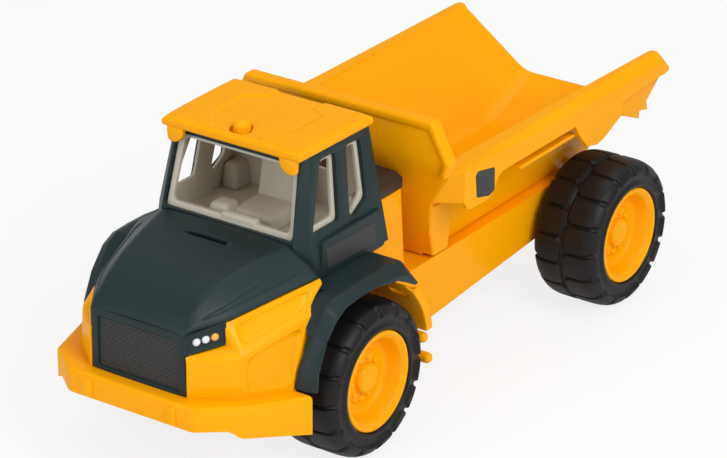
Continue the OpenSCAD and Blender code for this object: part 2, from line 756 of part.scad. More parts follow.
module cab_shell() {
  panel_z = sill_z - 2.6;
  color(dark) difference() {
    union() {
      cab_block(0, cab_z0, cab_top_z);
      // side panels under the windows stand upright
      both() along_y(cab_top_half_w, cab_half_w) polygon([
        [cab_x0 + 1, cab_z0 + 1], [cowl_x - 9, cab_z0 + 1], [cowl_x - 12, panel_z], [cab_x0 + 5, panel_z]
      ]);
    }
    cab_block(shell_wall, cab_z0 - 1, cab_top_z + 1);
    side_windows(0);
    windshield(0);
  }
}

// Floor of the cab
cab_floor_z = cab_z0 + liner_wall + 6;

module cab_liner() {
  g = shell_wall + seat_gap;
  color(liner_grey) difference() {
    cab_block(g, cab_z0, cab_top_z);
    cab_block(g + liner_wall, cab_floor_z, cab_top_z + 1);
    side_windows(-1.4);
    windshield(-1.8);
  }
}

// Driver's seat with its console
module seat() {
  cushion = [22, 24, 9];
  back = [7, 22, 30];
  console = [16, 10, 12];
  color("#a39e92") translate([cab_x0 + 10, 0, cab_floor_z]) {
    translate([0, -cushion.y / 2, 0]) cube(cushion);
    rotate([0, -8, 0]) translate([0.5, -back.y / 2, 1]) cube(back);
    translate([2, -cushion.y / 2 - console.y + 1, 0]) cube(console);
  }
}

roof_x0 = cab_x0 + 3.4;
roof_x1 = cab_front(cab_top_z) + 5.6;
roof_half_w = cab_top_half_w + 1.8;
roof_z = cab_top_z + seat_gap;

module roof() {
  r = 4;
  lip = 1.4;
  tab_d = 10;
  tab_t = 3;
  tab_y = roof_half_w - tab_d / 2 - 3;
  color(yellow) difference() {
    union() {
      hull() for (x = [roof_x0 + r, roof_x1 - r], y = [-1, 1]) translate([x, y * (roof_half_w - r), roof_z]) {
        cylinder(r = r, h = roof_t - lip, $fn = 32);
        cylinder(r = r - lip, h = roof_t, $fn = 32);
      }
      // rounded visor tabs over the windshield's corners
      both() translate([roof_x1 - tab_t - 0.4, tab_y, roof_z - 0.1 * tab_d]) rotate([0, 90, 0])
        cylinder(d = tab_d, h = tab_t);
    }
    // sunk panel, open to the rear
    translate([roof_x0, 0, roof_z + roof_t - roof_sunk]) linear_extrude(roof_sunk + 1) polygon([
      [-1, -13.5], [7, -13.5], [15, -22.5], [29, -27.5], [37, -18.5], [37, 18.5], [29, 27.5], [15, 22.5],
      [7, 13.5], [-1, 13.5]
    ]);
  }
}

module beacon() {
  color(yellow) translate([roof_x1 - 8.6, 0, roof_z + roof_t]) rotate_extrude() polygon([
    [0, 0], [beacon_d / 2, 0], [beacon_d / 2 - 0.3, beacon_h - 2], [beacon_d / 2 - 1.6, beacon_h - 0.5],
    [0, beacon_h]
  ]);
}

module rear_cover() {
  z0 = box_z + eps;
  x0 = box_x0(box_z + cover_h);
  x1 = cab_x0 - seat_gap;
  edge = 3;
  color("#2e2724") loft([
    ring_z(z0, x0, x1, box_half_w), ring_z(z0 + cover_h - edge, x0, x1, box_half_w),
    ring_z(z0 + cover_h, x0 + 1, x1, box_half_w - edge - 1)
  ]);
}

// Bed

// Outer face of the leaning front wall at height z, upright above the shoulders
shoulder_z = rail_z + 6;
function bed_front_x(z) = mix(bed_foot_x, bed_head_x - rim_out, min(1, (z - bed_z0) / (shoulder_z - bed_z0)));
// Headboard's rim proud of the wall's outer face
rim_out = 1.6;
// Widening of the bed's hollow at x
function flare(x) = tail_flare * (bed_head_x - x) / (bed_head_x - tail_x);
// Hull of the bed at height z
function hull_y(z) = mix(floor_half_w, inner_top_w, (z - floor_z) / (rail_z - floor_z)) + bed_wall;

// Hollow of the bed, open to the sky and to the tail
module bed_hollow() {
  up = rail_z + 1;
  function section(x0, x1, z0, w) =
    let (y1 = mix(w, inner_top_w + flare(x1), (up - z0) / (rail_z - z0)))
      [[x0, w, z0], [x1, y1, up], [x1, -y1, up], [x0, -w, z0]];
  loft([
    section(tail_x - 1, tail_x - 1, floor_z + chute_rise * (1 + 1 / chute_len), floor_half_w - 2.2),
    section(chute_x, chute_x, floor_z, floor_half_w),
    section(bed_front_x(floor_z) - bed_wall, bed_front_x(up) - bed_wall, floor_z, floor_half_w)
  ]);
}

module bed_body() {
  out_w = floor_half_w + bed_wall;
  function section(x0, x1, z0, w) =
    let (y1 = inner_top_w + flare(x1) + bed_wall)
      [[x0, w, z0], [x1, y1, rail_z], [x1, -y1, rail_z], [x0, -w, z0]];
  loft([
    section(tail_x, tail_x, bed_z0 + chute_rise, out_w - 2.2),
    section(chute_x, chute_x, bed_z0, out_w),
    section(bed_front_x(bed_z0), bed_front_x(rail_z), bed_z0, out_w)
  ]);
}

// Rail with its band, cut off at an angle at the front corner
module rail() {
  y0 = inner_top_w;
  y1 = rail_half_w;
  xf = bed_head_x - rim_w / 2;
  pad_y = hull_y(band_z) - bed_wall;
  plate_y = rail_half_w - 6;
  difference() {
    translate([0, 0, band_z]) linear_extrude(band_h) polygon([
      [tail_x, y0], [xf, y0], [xf, head_half_w + 2], [xf - 8, y1], [tail_x, y1]
    ]);
    translate([tail_x + bed_wall, y0 - eps, band_z - 1])
      cube([xf - 12 - tail_x, rail_w - bed_wall, band_h + 1 - bed_wall]);
  }
  // deeper panel at the front
  along_y(y1 - bed_wall, y1) polygon([
    [bed_foot_x + 3.5, band_z + 1], [bed_foot_x + 3.5, rail_z - 21], [bed_foot_x - 18.5, rail_z - 21],
    [bed_foot_x - 27, band_z + 1]
  ]);
  // pad over the rear wheel
  along_y(pad_y, y1) translate([rear_axle_x, rail_z]) polygon([
    [25.2, 1 - band_h], [21.7, -19.4], [15.6, -25.3], [6.4, -27.4], [0.4, -25], [-14.3, -20.5],
    [-15.6, 1 - band_h]
  ]);
  // toothed plate under the tail
  along_y(plate_y - bed_wall, plate_y) translate([rear_axle_x, rail_z]) polygon([
    [-14, -2], [-14, -22], [-35, -29.4], [-37.4, -25.6], [-41, -26.2], [-44, -29], [-46, -24], [-56, -13],
    [-56, -6], [-52, -2]
  ]);
}

// Headboard above the rails, with a rim along its top and its sloping ends
module headboard() {
  function outline(inset, foot) = [
    [rail_half_w - 1 - inset, foot], [rail_half_w + 1.5 - inset, shoulder_z],
    [head_half_w - 0.6 * inset, head_board_z - inset],
    [0.6 * inset - head_half_w, head_board_z - inset], [inset - rail_half_w - 1.5, shoulder_z],
    [1 + inset - rail_half_w, foot]
  ];
  x1 = bed_head_x - rim_out;
  along_x(x1 - bed_wall, x1) polygon(outline(1, rail_z - bed_wall));
  difference() {
    along_x(bed_head_x - rim_w, bed_head_x) polygon(outline(0, rail_z - bed_wall));
    along_x(bed_head_x - rim_w - 1, bed_head_x + 1) polygon(outline(rim_h, rail_z - bed_wall - 1));
  }
}

// Foot at a front corner of the bed, tapering up into the hull
module corner_foot() {
  z0 = floor_z;
  z1 = z0 + 19;
  y0 = floor_half_w - bed_wall;
  function plan(z, x0, y1) =
    let (x1 = bed_front_x(z) + 0.6) [[x0, y0, z], [x1, y0, z], [x1, y1, z], [x0, y1, z]];
  loft([plan(z0, bed_foot_x - 17, frame_half_w - 1), plan(z1, bed_foot_x - 11, hull_y(z1) + 0.8)]);
}

// Slim rib along the hull
module hull_rib() {
  z = bed_z0 + 14;
  y = hull_y(z);
  along_x(rear_axle_x - 8, rear_axle_x + 40) translate([y - 2, z - 0.8]) square([3.6, 1.6]);
}

module bed() {
  y0 = floor_half_w - hinge_w;
  tip_z = rail_z - 12.1;
  wall_w = rail_half_w - 4;
  color(yellow) difference() {
    union() {
      bed_body();
      both() {
        rail();
        corner_foot();
        hull_rib();
        along_y(y0, y0 + hinge_w) hinge_outline();
      }
      headboard();
    }
    bed_hollow();
    // sloping ends of the rails and of the side walls
    along_y(-far, far) polygon([
      [tail_x + tail_cut, rail_z + 1], [tail_x + tail_cut, rail_z], [tail_x - 0.3, tip_z], [tail_x - 2, tip_z],
      [tail_x - 2, rail_z + 1]
    ]);
    along_y(-wall_w, wall_w) polygon([
      [tail_x + tail_cut, rail_z + 1], [tail_x + tail_cut, rail_z], [tail_x + 1, floor_z + chute_rise],
      [tail_x - 2, floor_z + chute_rise], [tail_x - 2, rail_z + 1]
    ]);
    cross_bar(pivot_x, pivot_z, pin_d + 2 * axle_fit, -frame_half_w, frame_half_w);
  }
}

module hinge_outline() {
  r = boss_r - bed_gap;
  translate([pivot_x, pivot_z]) circle(r = r);
  translate([pivot_x - r, pivot_z]) square([2 * r, pivot_drop + bed_wall / 2]);
}

chassis_frame();
front_body();
hood();
grille();
head_lamps();
turn_lamps();
fender_left();
fender_right();
cab_shell();
cab_liner();
seat();
roof();
beacon();
rear_cover();
bed();
bed_pin();
front_axle();
rear_axle();
rim_front_left();
rim_front_right();
rim_rear_left();
rim_rear_right();
tyre_front_left();
tyre_front_right();
tyre_rear_left();
tyre_rear_right();
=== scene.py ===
import json
import math
import bpy
import bmesh
from mathutils import Matrix, Vector


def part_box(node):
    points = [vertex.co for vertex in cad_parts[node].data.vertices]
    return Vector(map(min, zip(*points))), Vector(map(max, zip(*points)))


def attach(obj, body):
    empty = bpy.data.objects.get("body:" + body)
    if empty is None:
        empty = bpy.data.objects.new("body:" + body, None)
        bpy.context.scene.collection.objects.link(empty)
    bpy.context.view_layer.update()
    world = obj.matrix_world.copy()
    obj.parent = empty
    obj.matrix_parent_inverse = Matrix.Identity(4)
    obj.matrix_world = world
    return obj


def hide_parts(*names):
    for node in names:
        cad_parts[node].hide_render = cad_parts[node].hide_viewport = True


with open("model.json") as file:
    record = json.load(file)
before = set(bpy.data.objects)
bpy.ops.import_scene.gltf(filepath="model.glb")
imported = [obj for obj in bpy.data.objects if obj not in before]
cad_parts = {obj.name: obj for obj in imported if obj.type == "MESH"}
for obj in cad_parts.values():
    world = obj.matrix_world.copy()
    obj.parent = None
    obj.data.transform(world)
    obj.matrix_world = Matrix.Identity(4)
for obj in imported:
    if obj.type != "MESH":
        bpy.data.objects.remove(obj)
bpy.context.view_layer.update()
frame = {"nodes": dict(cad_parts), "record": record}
nodes = frame["nodes"]

mm = 0.001
imageSize = (727, 458)
scene = bpy.context.scene
scene.view_settings.view_transform = "Standard"

# camera fitted to the photo
cameraSettings = {
    "place": (1188.09 * mm, 840.28 * mm, 731.38 * mm),
    "target": (-0.87 * mm, 0.0, 59.88 * mm),
    "focalPixels": 3557.97,
    "sensor": 36.0,
}


def makeCamera(s):
    data = bpy.data.cameras.new("photoCamera")
    data.sensor_fit = "HORIZONTAL"
    data.sensor_width = s["sensor"]
    data.lens = s["sensor"] * s["focalPixels"] / imageSize[0]
    camera = bpy.data.objects.new("photoCamera", data)
    scene.collection.objects.link(camera)
    camera.location = s["place"]
    look = Vector(s["target"]) - Vector(s["place"])
    camera.rotation_euler = look.to_track_quat("-Z", "Y").to_euler()
    scene.camera = camera


makeCamera(cameraSettings)
print("camera placed")


class Wire:  # a node's output, usable in sums
    def __init__(self, tree, socket):
        self.tree = tree
        self.socket = socket

    def sum(self, operation, a, b):
        n = self.tree.nodes.new("ShaderNodeMath")
        n.operation = operation
        plug(self.tree, a, n.inputs[0])
        plug(self.tree, b, n.inputs[1])
        return Wire(self.tree, n.outputs[0])

    def __add__(self, other):
        return self.sum("ADD", self, other)

    def __radd__(self, other):
        return self.sum("ADD", other, self)

    def __sub__(self, other):
        return self.sum("SUBTRACT", self, other)

    def __mul__(self, other):
        return self.sum("MULTIPLY", self, other)


def plug(tree, value, socket):
    if isinstance(value, Wire):
        tree.links.new(value.socket, socket)
    else:
        socket.default_value = value


class Finish:  # a new material and its shader
    def __init__(self, name):
        self.material = bpy.data.materials.new(name)
        self.material.use_nodes = True
        self.tree = self.material.node_tree
        self.shader = self.tree.nodes["Principled BSDF"]

    def node(self, kind, settings={}, sockets={}, output=0):
        n = self.tree.nodes.new("ShaderNode" + kind)
        for key, value in settings.items():
            setattr(n, key, value)
        for key, value in sockets.items():
            plug(self.tree, value, n.inputs[key])
        return Wire(self.tree, n.outputs[output])

    def blend(self, factor, a, b):
        return self.node("Mix", {"data_type": "RGBA"}, {0: factor, 6: a, 7: b}, output=2)

    def shade(self, sockets):
        for key, value in sockets.items():
            plug(self.tree, value, self.shader.inputs[key])
        return self.material


def tint(colour, k):
    return tuple(min(1.0, c * k) for c in colour) + (1.0,)


# moulded plastics: cloudy tone, uneven gloss, fine skin of the mould
plasticSettings = {
    "yellow_plastic": {"colour": (0.95, 0.39, 0.001), "tone": 0.03, "rough": 0.3, "uneven": 0.08,
                       "grain": 900, "skin": 0.005, "coat": 0.26, "sheen": 0.0},
    "dark_plastic": {"colour": (0.0135, 0.0275, 0.0295), "tone": 0.2, "rough": 0.42, "uneven": 0.12,
                     "grain": 2600, "skin": 0.12, "sheen": 0.22},
    "grille_plastic": {"colour": (0.045, 0.046, 0.046), "tone": 0.2, "rough": 0.5, "uneven": 0.12,
                       "grain": 2600, "skin": 0.14, "sheen": 0.2},
    "liner_plastic": {"colour": (0.52, 0.485, 0.40), "tone": 0.06, "rough": 0.4, "uneven": 0.12,
                      "grain": 1800, "skin": 0.06, "sheen": 0.35},
    # cover_plastic: its warm brown is painted reflection, the bed's orange light bounced onto the dark cover in shade
    "cover_plastic": {"colour": (0.040, 0.028, 0.021), "tone": 0.2, "rough": 0.42, "uneven": 0.12,
                      "grain": 2200, "skin": 0.1, "sheen": 0.25},
    "tyre_rubber": {"colour": (0.0085, 0.008, 0.008), "tone": 0.3, "rough": 0.46, "uneven": 0.16,
                    "grain": 1700, "skin": 0.1, "sheen": 0.25},
}


def mouldedPlastic(name, s):
    f = Finish(name)
    place = f.node("TexCoord", output="Object")
    cloud = f.node("TexNoise", {}, {"Vector": place, "Scale": 24, "Detail": 3})
    grain = f.node("TexNoise", {}, {"Vector": place, "Scale": s["grain"], "Detail": 2})
    skin = f.node("Bump", {}, {"Strength": s["skin"], "Distance": 0.0003, "Height": grain})
    return f.shade({
        "Base Color": f.blend(cloud, tint(s["colour"], 1 - s["tone"]), tint(s["colour"], 1 + s["tone"])),
        "Roughness": s["rough"] + (cloud - 0.5) * s["uneven"] + (grain - 0.5) * 0.06,
        "Normal": skin,
        "Coat Weight": s.get("coat", 0.0),
        "Coat Roughness": 0.18,
        "Specular IOR Level": s["sheen"],
    })


def lampLens(name, colour):
    f = Finish(name)
    place = f.node("TexCoord", output="Object")
    cloud = f.node("TexNoise", {}, {"Vector": place, "Scale": 400, "Detail": 2})
    return f.shade({
        "Base Color": f.blend(cloud, tint(colour, 0.9), tint(colour, 1.05)),
        "Roughness": 0.16 + cloud * 0.1,
        "Coat Weight": 0.5,
    })


def axleSteel(name):
    f = Finish(name)
    place = f.node("TexCoord", output="Object")
    drawn = f.node("Mapping", {}, {"Vector": place, "Scale": (900, 12, 900)})
    lines = f.node("TexNoise", {}, {"Vector": drawn, "Scale": 1, "Detail": 3})
    return f.shade({
        "Base Color": f.blend(lines, (0.42, 0.42, 0.43, 1), (0.62, 0.62, 0.63, 1)),
        "Metallic": 1.0,
        "Roughness": 0.22 + lines * 0.2,
    })


looks = {key: mouldedPlastic(key.replace("_", ""), s) for key, s in plasticSettings.items()}
looks["lamp_white"] = lampLens("lampWhite", (0.74, 0.77, 0.82))
looks["lamp_amber"] = lampLens("lampAmber", (0.86, 0.40, 0.06))
looks["steel"] = axleSteel("axleSteel")
slotOf = {row["node"]: row["material_slot"] for row in frame["record"]["subparts"]}
bodyOf = {n: body for body, names in frame["record"]["behaviour"]["bodies"].items() for n in names}
for name, slotName in slotOf.items():
    nodes[name].data.materials.clear()
    nodes[name].data.materials.append(looks[slotName])
print("finishes ready")


def addPiece(bm, name, slotName, body, replaced=(), sharp=38, unit=mm):
    bmesh.ops.scale(bm, vec=(unit, unit, unit), verts=bm.verts)
    mesh = bpy.data.meshes.new(name)
    bm.to_mesh(mesh)
    bm.free()
    mesh.materials.append(looks[slotName])
    mesh.shade_smooth()
    mesh.set_sharp_from_angle(angle=math.radians(sharp))
    piece = bpy.data.objects.new(name, mesh)
    scene.collection.objects.link(piece)
    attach(piece, body)
    for n in replaced:
        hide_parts(n)
    return piece


def mix(a, b, t):
    return a + (b - a) * t


def sideWord(side):
    return "Left" if side > 0 else "Right"


def openEdges(bm):
    return [e for e in bm.edges if e.is_boundary]


def facesWithin(bm, verts):
    return [f for f in bm.faces if all(v in verts for v in f.verts)]


def faceOut(bm):
    bmesh.ops.recalc_face_normals(bm, faces=bm.faces)


def onlyVerts(parts):
    return [v for v in parts if isinstance(v, bmesh.types.BMVert)]


def sharpEdges(bm, angle):
    return [e for e in bm.edges if e.calc_face_angle(0) > angle]


def roundOff(bm, edges, offset, segments):
    return bmesh.ops.bevel(bm, geom=edges, offset=offset, segments=segments, profile=0.5, material=-1, affect="EDGES")


def thicken(bm, faces, vec):
    made = bmesh.ops.extrude_face_region(bm, geom=faces)["geom"]
    bmesh.ops.translate(bm, vec=vec, verts=onlyVerts(made))
    faceOut(bm)


def faceTowards(bm, direction):
    faceOut(bm)
    if sum(f.normal.dot(Vector(direction)) * f.calc_area() for f in bm.faces) < 0:
        bmesh.ops.reverse_faces(bm, faces=bm.faces)


def turnShape(bm, chain, steps, axis):
    bmesh.ops.spin(bm, geom=chain, axis=axis, cent=(0, 0, 0), steps=steps, angle=math.tau, use_merge=True)
    bmesh.ops.remove_doubles(bm, verts=bm.verts, dist=0.001)
    faceOut(bm)


def mirrorSide(bm, side):
    if side < 0:
        bmesh.ops.scale(bm, vec=(1, -1, 1), verts=bm.verts)
        bmesh.ops.reverse_faces(bm, faces=bm.faces)


def putVerts(bm, points):
    return [bm.verts.new(p) for p in points]


def edgeRow(bm, points):
    row = putVerts(bm, points)
    return row, [bm.edges.new(pair) for pair in zip(row, row[1:])]


def bridgeRows(bm, rows):
    for a, b in zip(rows, rows[1:]):
        bmesh.ops.bridge_loops(bm, edges=a[1] + b[1])


# sunk panels: width of the slope, sharpness of its edges and corners
panelSettings = {"border": 0.4, "edge": 0.8, "corner": 1.0}


def creaseRim(bm, panel):
    crease, corner = bm.edges.layers.float["crease_edge"], bm.verts.layers.float["crease_vert"]
    for e in {e for f in panel for e in f.edges if sum(g in panel for g in e.link_faces) == 1}:
        e[crease] = panelSettings["edge"]
    for v in {v for f in panel for v in f.verts if sum(g in panel for g in v.link_faces) == 1}:
        v[corner] = panelSettings["corner"]


def sinkPanel(bm, panel, depth):
    creaseRim(bm, panel)
    bmesh.ops.inset_region(bm, faces=panel, thickness=panelSettings["border"], depth=-depth,
                           use_even_offset=True, use_boundary=True)
    creaseRim(bm, panel)


def subdivide(piece, levels):
    smooth = piece.modifiers.new("smooth", "SUBSURF")
    smooth.levels = levels
    smooth.render_levels = levels


def softenEdges(piece, edge, segments, angle):
    soft = piece.modifiers.new("softEdges", "BEVEL")
    soft.width = edge * mm
    soft.segments = segments
    soft.limit_method = "ANGLE"
    soft.angle_limit = math.radians(angle)


def finishShell(piece, wall, edge=0.0, levels=0):
    thick = piece.modifiers.new("wall", "SOLIDIFY")
    thick.thickness = wall * mm
    if edge:
        softenEdges(piece, edge, 2, 40)
    if levels:
        subdivide(piece, levels)


def flatten(piece, edge=0.0):
    if edge:
        softenEdges(piece, edge, 3, 30)
    flat = piece.modifiers.new("flatFaces", "WEIGHTED_NORMAL")
    flat.keep_sharp = True


# rounded copies of the mouldings
softSettings = {
    "chassis_frame": {"round": 0.7, "angle": 28},
    "fender_left": {"round": 0.8, "angle": 20},
    "fender_right": {"round": 0.8, "angle": 20},
    "beacon": {"round": 0.6, "angle": 30, "drop": 2.2},  # stands in the roof's socket
    "rear_cover": {"round": 1.0, "angle": 20},
}

# passes as shares of the width, least edge and least corner edge in widths, later passes' least angle
roundSettings = {"passes": (1.0, 0.4), "edge": 2.2, "corner": 1.5, "laterAngle": 40}


def roundEdges(bm, width, angle):
    rules = roundSettings
    for share in rules["passes"]:
        size = width * mm * share
        short = {v: min((e.calc_length() for e in v.link_edges), default=0) for v in bm.verts}
        edges = [
            e for e in bm.edges
            if e.is_manifold and e.calc_face_angle(0) > math.radians(angle)
            and e.calc_length() > rules["edge"] * size and min(short[v] for v in e.verts) > rules["corner"] * size
        ]
        bmesh.ops.bevel(bm, geom=edges, offset=size, segments=3, profile=0.5, material=-1,
                        affect="EDGES", clamp_overlap=False, loop_slide=True)
        angle = max(angle, rules["laterAngle"])


def softCopy(name, s):
    bm = bmesh.new()
    bm.from_mesh(nodes[name].data)
    bmesh.ops.remove_doubles(bm, verts=bm.verts, dist=3e-6)
    bmesh.ops.join_triangles(bm, faces=bm.faces, angle_face_threshold=math.radians(0.7), angle_shape_threshold=3.1)
    roundEdges(bm, s["round"], s["angle"])
    bmesh.ops.translate(bm, vec=(0, 0, -s.get("drop", 0) * mm), verts=bm.verts)
    flatten(addPiece(bm, name + "Soft", slotOf[name], bodyOf[name], [name], unit=1.0))


for name, s in softSettings.items():
    softCopy(name, s)
print("mouldings rounded")

# tyres: two staggered rows of blocks that wrap over the shoulder
tyreSettings = {
    "steps": 192,
    "pitch": 12,
    "half": [(22.95, 15.2), (23.1, 16.2), (24.0, 16.8), (25.2, 16.6), (26.0, 15.9), (27.4, 15.6), (29.0, 15.7),
             (30.3, 15.4), (31.6, 14.6), (32.7, 13.2), (33.4, 11.2), (33.65, 8.8), (33.7, 6.4), (33.7, 4.0),
             (33.7, 2.2), (33.7, 0.75)],
    "blockFoot": 28.6, "footEnd": 29.8, "middle": 0.75, "crownEnd": 2.2, "shoulder": 12.4,
    "insets": ((0.3, 1.5), (0.35, 0.0)),  # width and lift
}


def isBlock(face, s):
    c = face.calc_center_median()
    radius, across = math.hypot(c.x, c.z), abs(c.y)
    if radius < s["blockFoot"] or across < s["middle"]:
        return False
    cell = int((math.atan2(c.z, c.x) % math.tau) / math.tau * s["steps"])
    k = (cell - (0 if c.y > 0 else s["pitch"] // 2)) % s["pitch"]
    if k == 0 or (across > s["shoulder"] and k == 1):
        return False
    narrow = across < s["crownEnd"] or radius < s["footEnd"]
    return not (narrow and k in (1, s["pitch"] - 1))


def makeTyre(name, side, s):
    bm = bmesh.new()
    ring = putVerts(bm, [(r, -y, 0) for r, y in s["half"]] + [(r, y, 0) for r, y in reversed(s["half"])])
    edges = [bm.edges.new(pair) for pair in zip(ring, ring[1:] + ring[:1])]
    turnShape(bm, ring + edges, s["steps"], (0, 1, 0))
    blocks = [f for f in bm.faces if isBlock(f, s)]
    for width, lift in s["insets"]:
        bmesh.ops.inset_region(bm, faces=blocks, thickness=width, depth=lift, use_even_offset=True, use_boundary=True)
    placeWheel(bm, name, side)
    subdivide(addPiece(bm, name + "Rubber", "tyre_rubber", bodyOf[name], [name], sharp=180), 1)


def placeWheel(bm, name, side):
    low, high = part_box(name)
    middle = (Vector(low) + Vector(high)) / 2 / mm
    mirrorSide(bm, side)
    bmesh.ops.translate(bm, vec=middle, verts=bm.verts)


# wheel discs: flange, deep dish, hub with a ring of bolts and a cap
rimSettings = {
    "steps": 96,
    "outline": [(0, 11.9), (4.6, 11.8), (5.9, 11.5), (6.6, 10.9), (6.9, 10.0), (7.1, 8.5), (10.9, 8.3), (11.9, 8.0),
                (12.3, 7.3), (15.2, 7.1), (16.3, 7.4), (17.0, 8.4), (17.6, 10.2), (18.9, 14.2), (19.3, 14.9),
                (19.9, 15.2), (20.3, 15.5), (20.7, 16.0), (21.3, 16.2), (22.1, 16.2), (22.6, 15.9), (22.8, 15.2),
                (22.8, -15.4), (22.4, -16.1), (20.6, -16.1), (20.2, -15.6), (20.0, 3.8), (19.4, 4.4), (6.2, 4.4),
                (5.6, 3.8), (5.5, -15.8), (5.1, -16.2), (2.5, -16.2), (2.06, -15.8), (2.06, 6.0), (0, 6.0)],
    "bolts": 10,
    "boltRing": 9.3,
    "bolt": {"foot": 1.75, "head": 1.5, "high": 3.2, "round": 0.7, "out": 7.9},
}


def makeRim(name, side, s):
    bm = bmesh.new()
    chain, edges = edgeRow(bm, [(r, y, 0) for r, y in s["outline"]])
    turnShape(bm, chain + edges, s["steps"], (0, 1, 0))
    b = s["bolt"]
    cone = bmesh.ops.create_cone(bm, cap_ends=True, segments=20, radius1=b["foot"], radius2=b["head"], depth=b["high"])
    bolt = cone["verts"]
    top = [e for e in bm.edges if e.verts[0] in bolt and all(v.co.z > b["high"] * 0.4 for v in e.verts)]
    rounded = roundOff(bm, top, b["round"], 3)
    bolt = [v for v in set(bolt) | set(rounded["verts"]) if v.is_valid]
    bmesh.ops.rotate(bm, matrix=Matrix.Rotation(math.radians(-90), 3, "X"), verts=bolt)
    bmesh.ops.translate(bm, vec=(s["boltRing"], b["out"], 0), verts=bolt)
    whole = bolt + list({e for v in bolt for e in v.link_edges}) + list({f for v in bolt for f in v.link_faces})
    bmesh.ops.spin(bm, geom=whole, axis=(0, 1, 0), cent=(0, 0, 0), steps=s["bolts"] - 1,
                   angle=math.tau * (1 - 1 / s["bolts"]), use_duplicate=True)
    faceOut(bm)
    placeWheel(bm, name, side)
    addPiece(bm, name + "Disc", "yellow_plastic", bodyOf[name], [name], sharp=50)


for end in ("front", "rear"):
    for word, side in (("left", 1), ("right", -1)):
        makeTyre(f"tyre_{end}_{word}", side, tyreSettings)
        makeRim(f"rim_{end}_{word}", side, rimSettings)
print("wheels made")

# hood: smooth skin over sections along the truck, then the lamps in their trays
hoodSettings = {
    "rear": 100.2, "front": 161.6, "lamp": 146.0, "grille": 162.0,
    "top": 99.6, "fall": 19.6,
    "edgeRear": (48.6, 88.0), "edgeLamp": (34.6, 81.7), "edgeGrille": 24.6, "edgeIn": 0.4,
    "steps": [0, 0.12, 0.195, 0.245, 0.34, 0.46, 0.6, 0.7, 0.8, 0.87, 0.93, 0.97, 1.0],
    "curve": [(0, 0), (0.32, 0.08), (0.6, 0.23), (0.8, 0.45), (0.92, 0.7), (1.0, 1.0)],
    "crease": (33, 22), "ridge": 0.45, "ridgeColumn": 4,
    "lip": {"below": 2.6, "high": 1.3, "least": 1.2, "in": 0.25},
    "bulge": 0.35, "crown": ((4, 0.35), 0.8, 0.9),
    "slotHalf": 10.6, "slotRows": (2, 3), "slotColumn": 6, "slotCrease": 0.85,
    "panelRows": range(1, 10), "panelColumns": (2, 3), "panel": (0.22, 0.54, 0.32), "panelDeep": 0.4,
    "nose": (0.985, 1.5), "turnDown": 9.0, "turnIn": 0.94,
    "wall": 2.2, "rimFold": 0.8,
}


def curveAt(points, t):
    for (t0, v0), (t1, v1) in zip(points, points[1:]):
        if t <= t1:
            return mix(v0, v1, (t - t0) / (t1 - t0))
    return points[-1][1]


def hoodEdge(x, s):
    t = (x - s["rear"]) / (s["lamp"] - s["rear"])
    y, z = (mix(a, b, t) for a, b in zip(s["edgeRear"], s["edgeLamp"]))
    if x > s["lamp"]:
        y = mix(s["edgeLamp"][0], s["edgeGrille"], (x - s["lamp"]) / (s["grille"] - s["lamp"])) - s["edgeIn"]
    return y, z


def hoodHalf(t, s):
    x = mix(s["rear"], s["front"], t)
    z = s["top"] - s["fall"] * curveAt(s["curve"], t)
    crease = mix(*s["crease"], t)
    edgeY, edgeZ = hoodEdge(x, s)
    rim = s["lip"]
    edgeZ = min(edgeZ, z - rim["below"])
    lip = min(edgeZ + rim["high"], z - rim["least"])
    low, rear, front = s["panel"]
    slope = [(mix(edgeY, crease, k), mix(lip, z, k) + s["bulge"]) for k in (low, mix(rear, front, t))]
    (inward, rise), beside, middle = s["crown"]
    half = [(edgeY, edgeZ), (edgeY - rim["in"], lip)] + slope
    half += [(crease, z), (crease - inward, z + rise), (s["slotHalf"], z + beside), (0, z + middle)]
    return [(x, y, h) for y, h in half] + [(x, -y, h) for y, h in reversed(half[:-1])]


def makeHood(s):
    bm = bmesh.new()
    crease = bm.edges.layers.float.new("crease_edge")
    bm.verts.layers.float.new("crease_vert")
    rows = [edgeRow(bm, hoodHalf(t, s)) for t in s["steps"]]
    narrow, drop = s["nose"]
    rows.append(edgeRow(bm, [(s["grille"], y * narrow, z - drop) for x, y, z in hoodHalf(1.0, s)]))
    bridgeRows(bm, rows)
    # rear edge turned down behind the cheeks
    back = edgeRow(bm, [(x, y * s["turnIn"], z - s["turnDown"]) for x, y, z in hoodHalf(0, s)])
    bmesh.ops.bridge_loops(bm, edges=rows[0][1] + back[1])
    for e in rows[0][1]:
        e[crease] = s["slotCrease"]
    faceTowards(bm, (0, 0, 1))
    last = len(rows[0][0]) - 1
    for e in bm.edges:
        places = [row[0].index(v) for row in rows for v in e.verts if v in row[0]]
        if set(places) in ({s["ridgeColumn"]}, {last - s["ridgeColumn"]}):
            e[crease] = s["ridge"]
    slot = slice(s["slotColumn"], last + 1 - s["slotColumn"])
    rim = {v for i in s["slotRows"] for v in rows[i][0][slot]}
    bmesh.ops.delete(bm, geom=facesWithin(bm, rim), context="FACES")
    for e in bm.edges:
        if all(v in rim for v in e.verts):
            e[crease] = s["slotCrease"]
    low, high = s["panelColumns"]
    for columns in ((low, high), (last - high, last - low)):
        inside = {rows[i][0][k] for i in s["panelRows"] for k in columns}
        sinkPanel(bm, facesWithin(bm, inside), s["panelDeep"])
    piece = addPiece(bm, "hoodSkin", "dark_plastic", "chassis", ["hood"], sharp=180)
    finishShell(piece, s["wall"], levels=2)
    piece.modifiers["wall"].edge_crease_rim = s["rimFold"]


makeHood(hoodSettings)

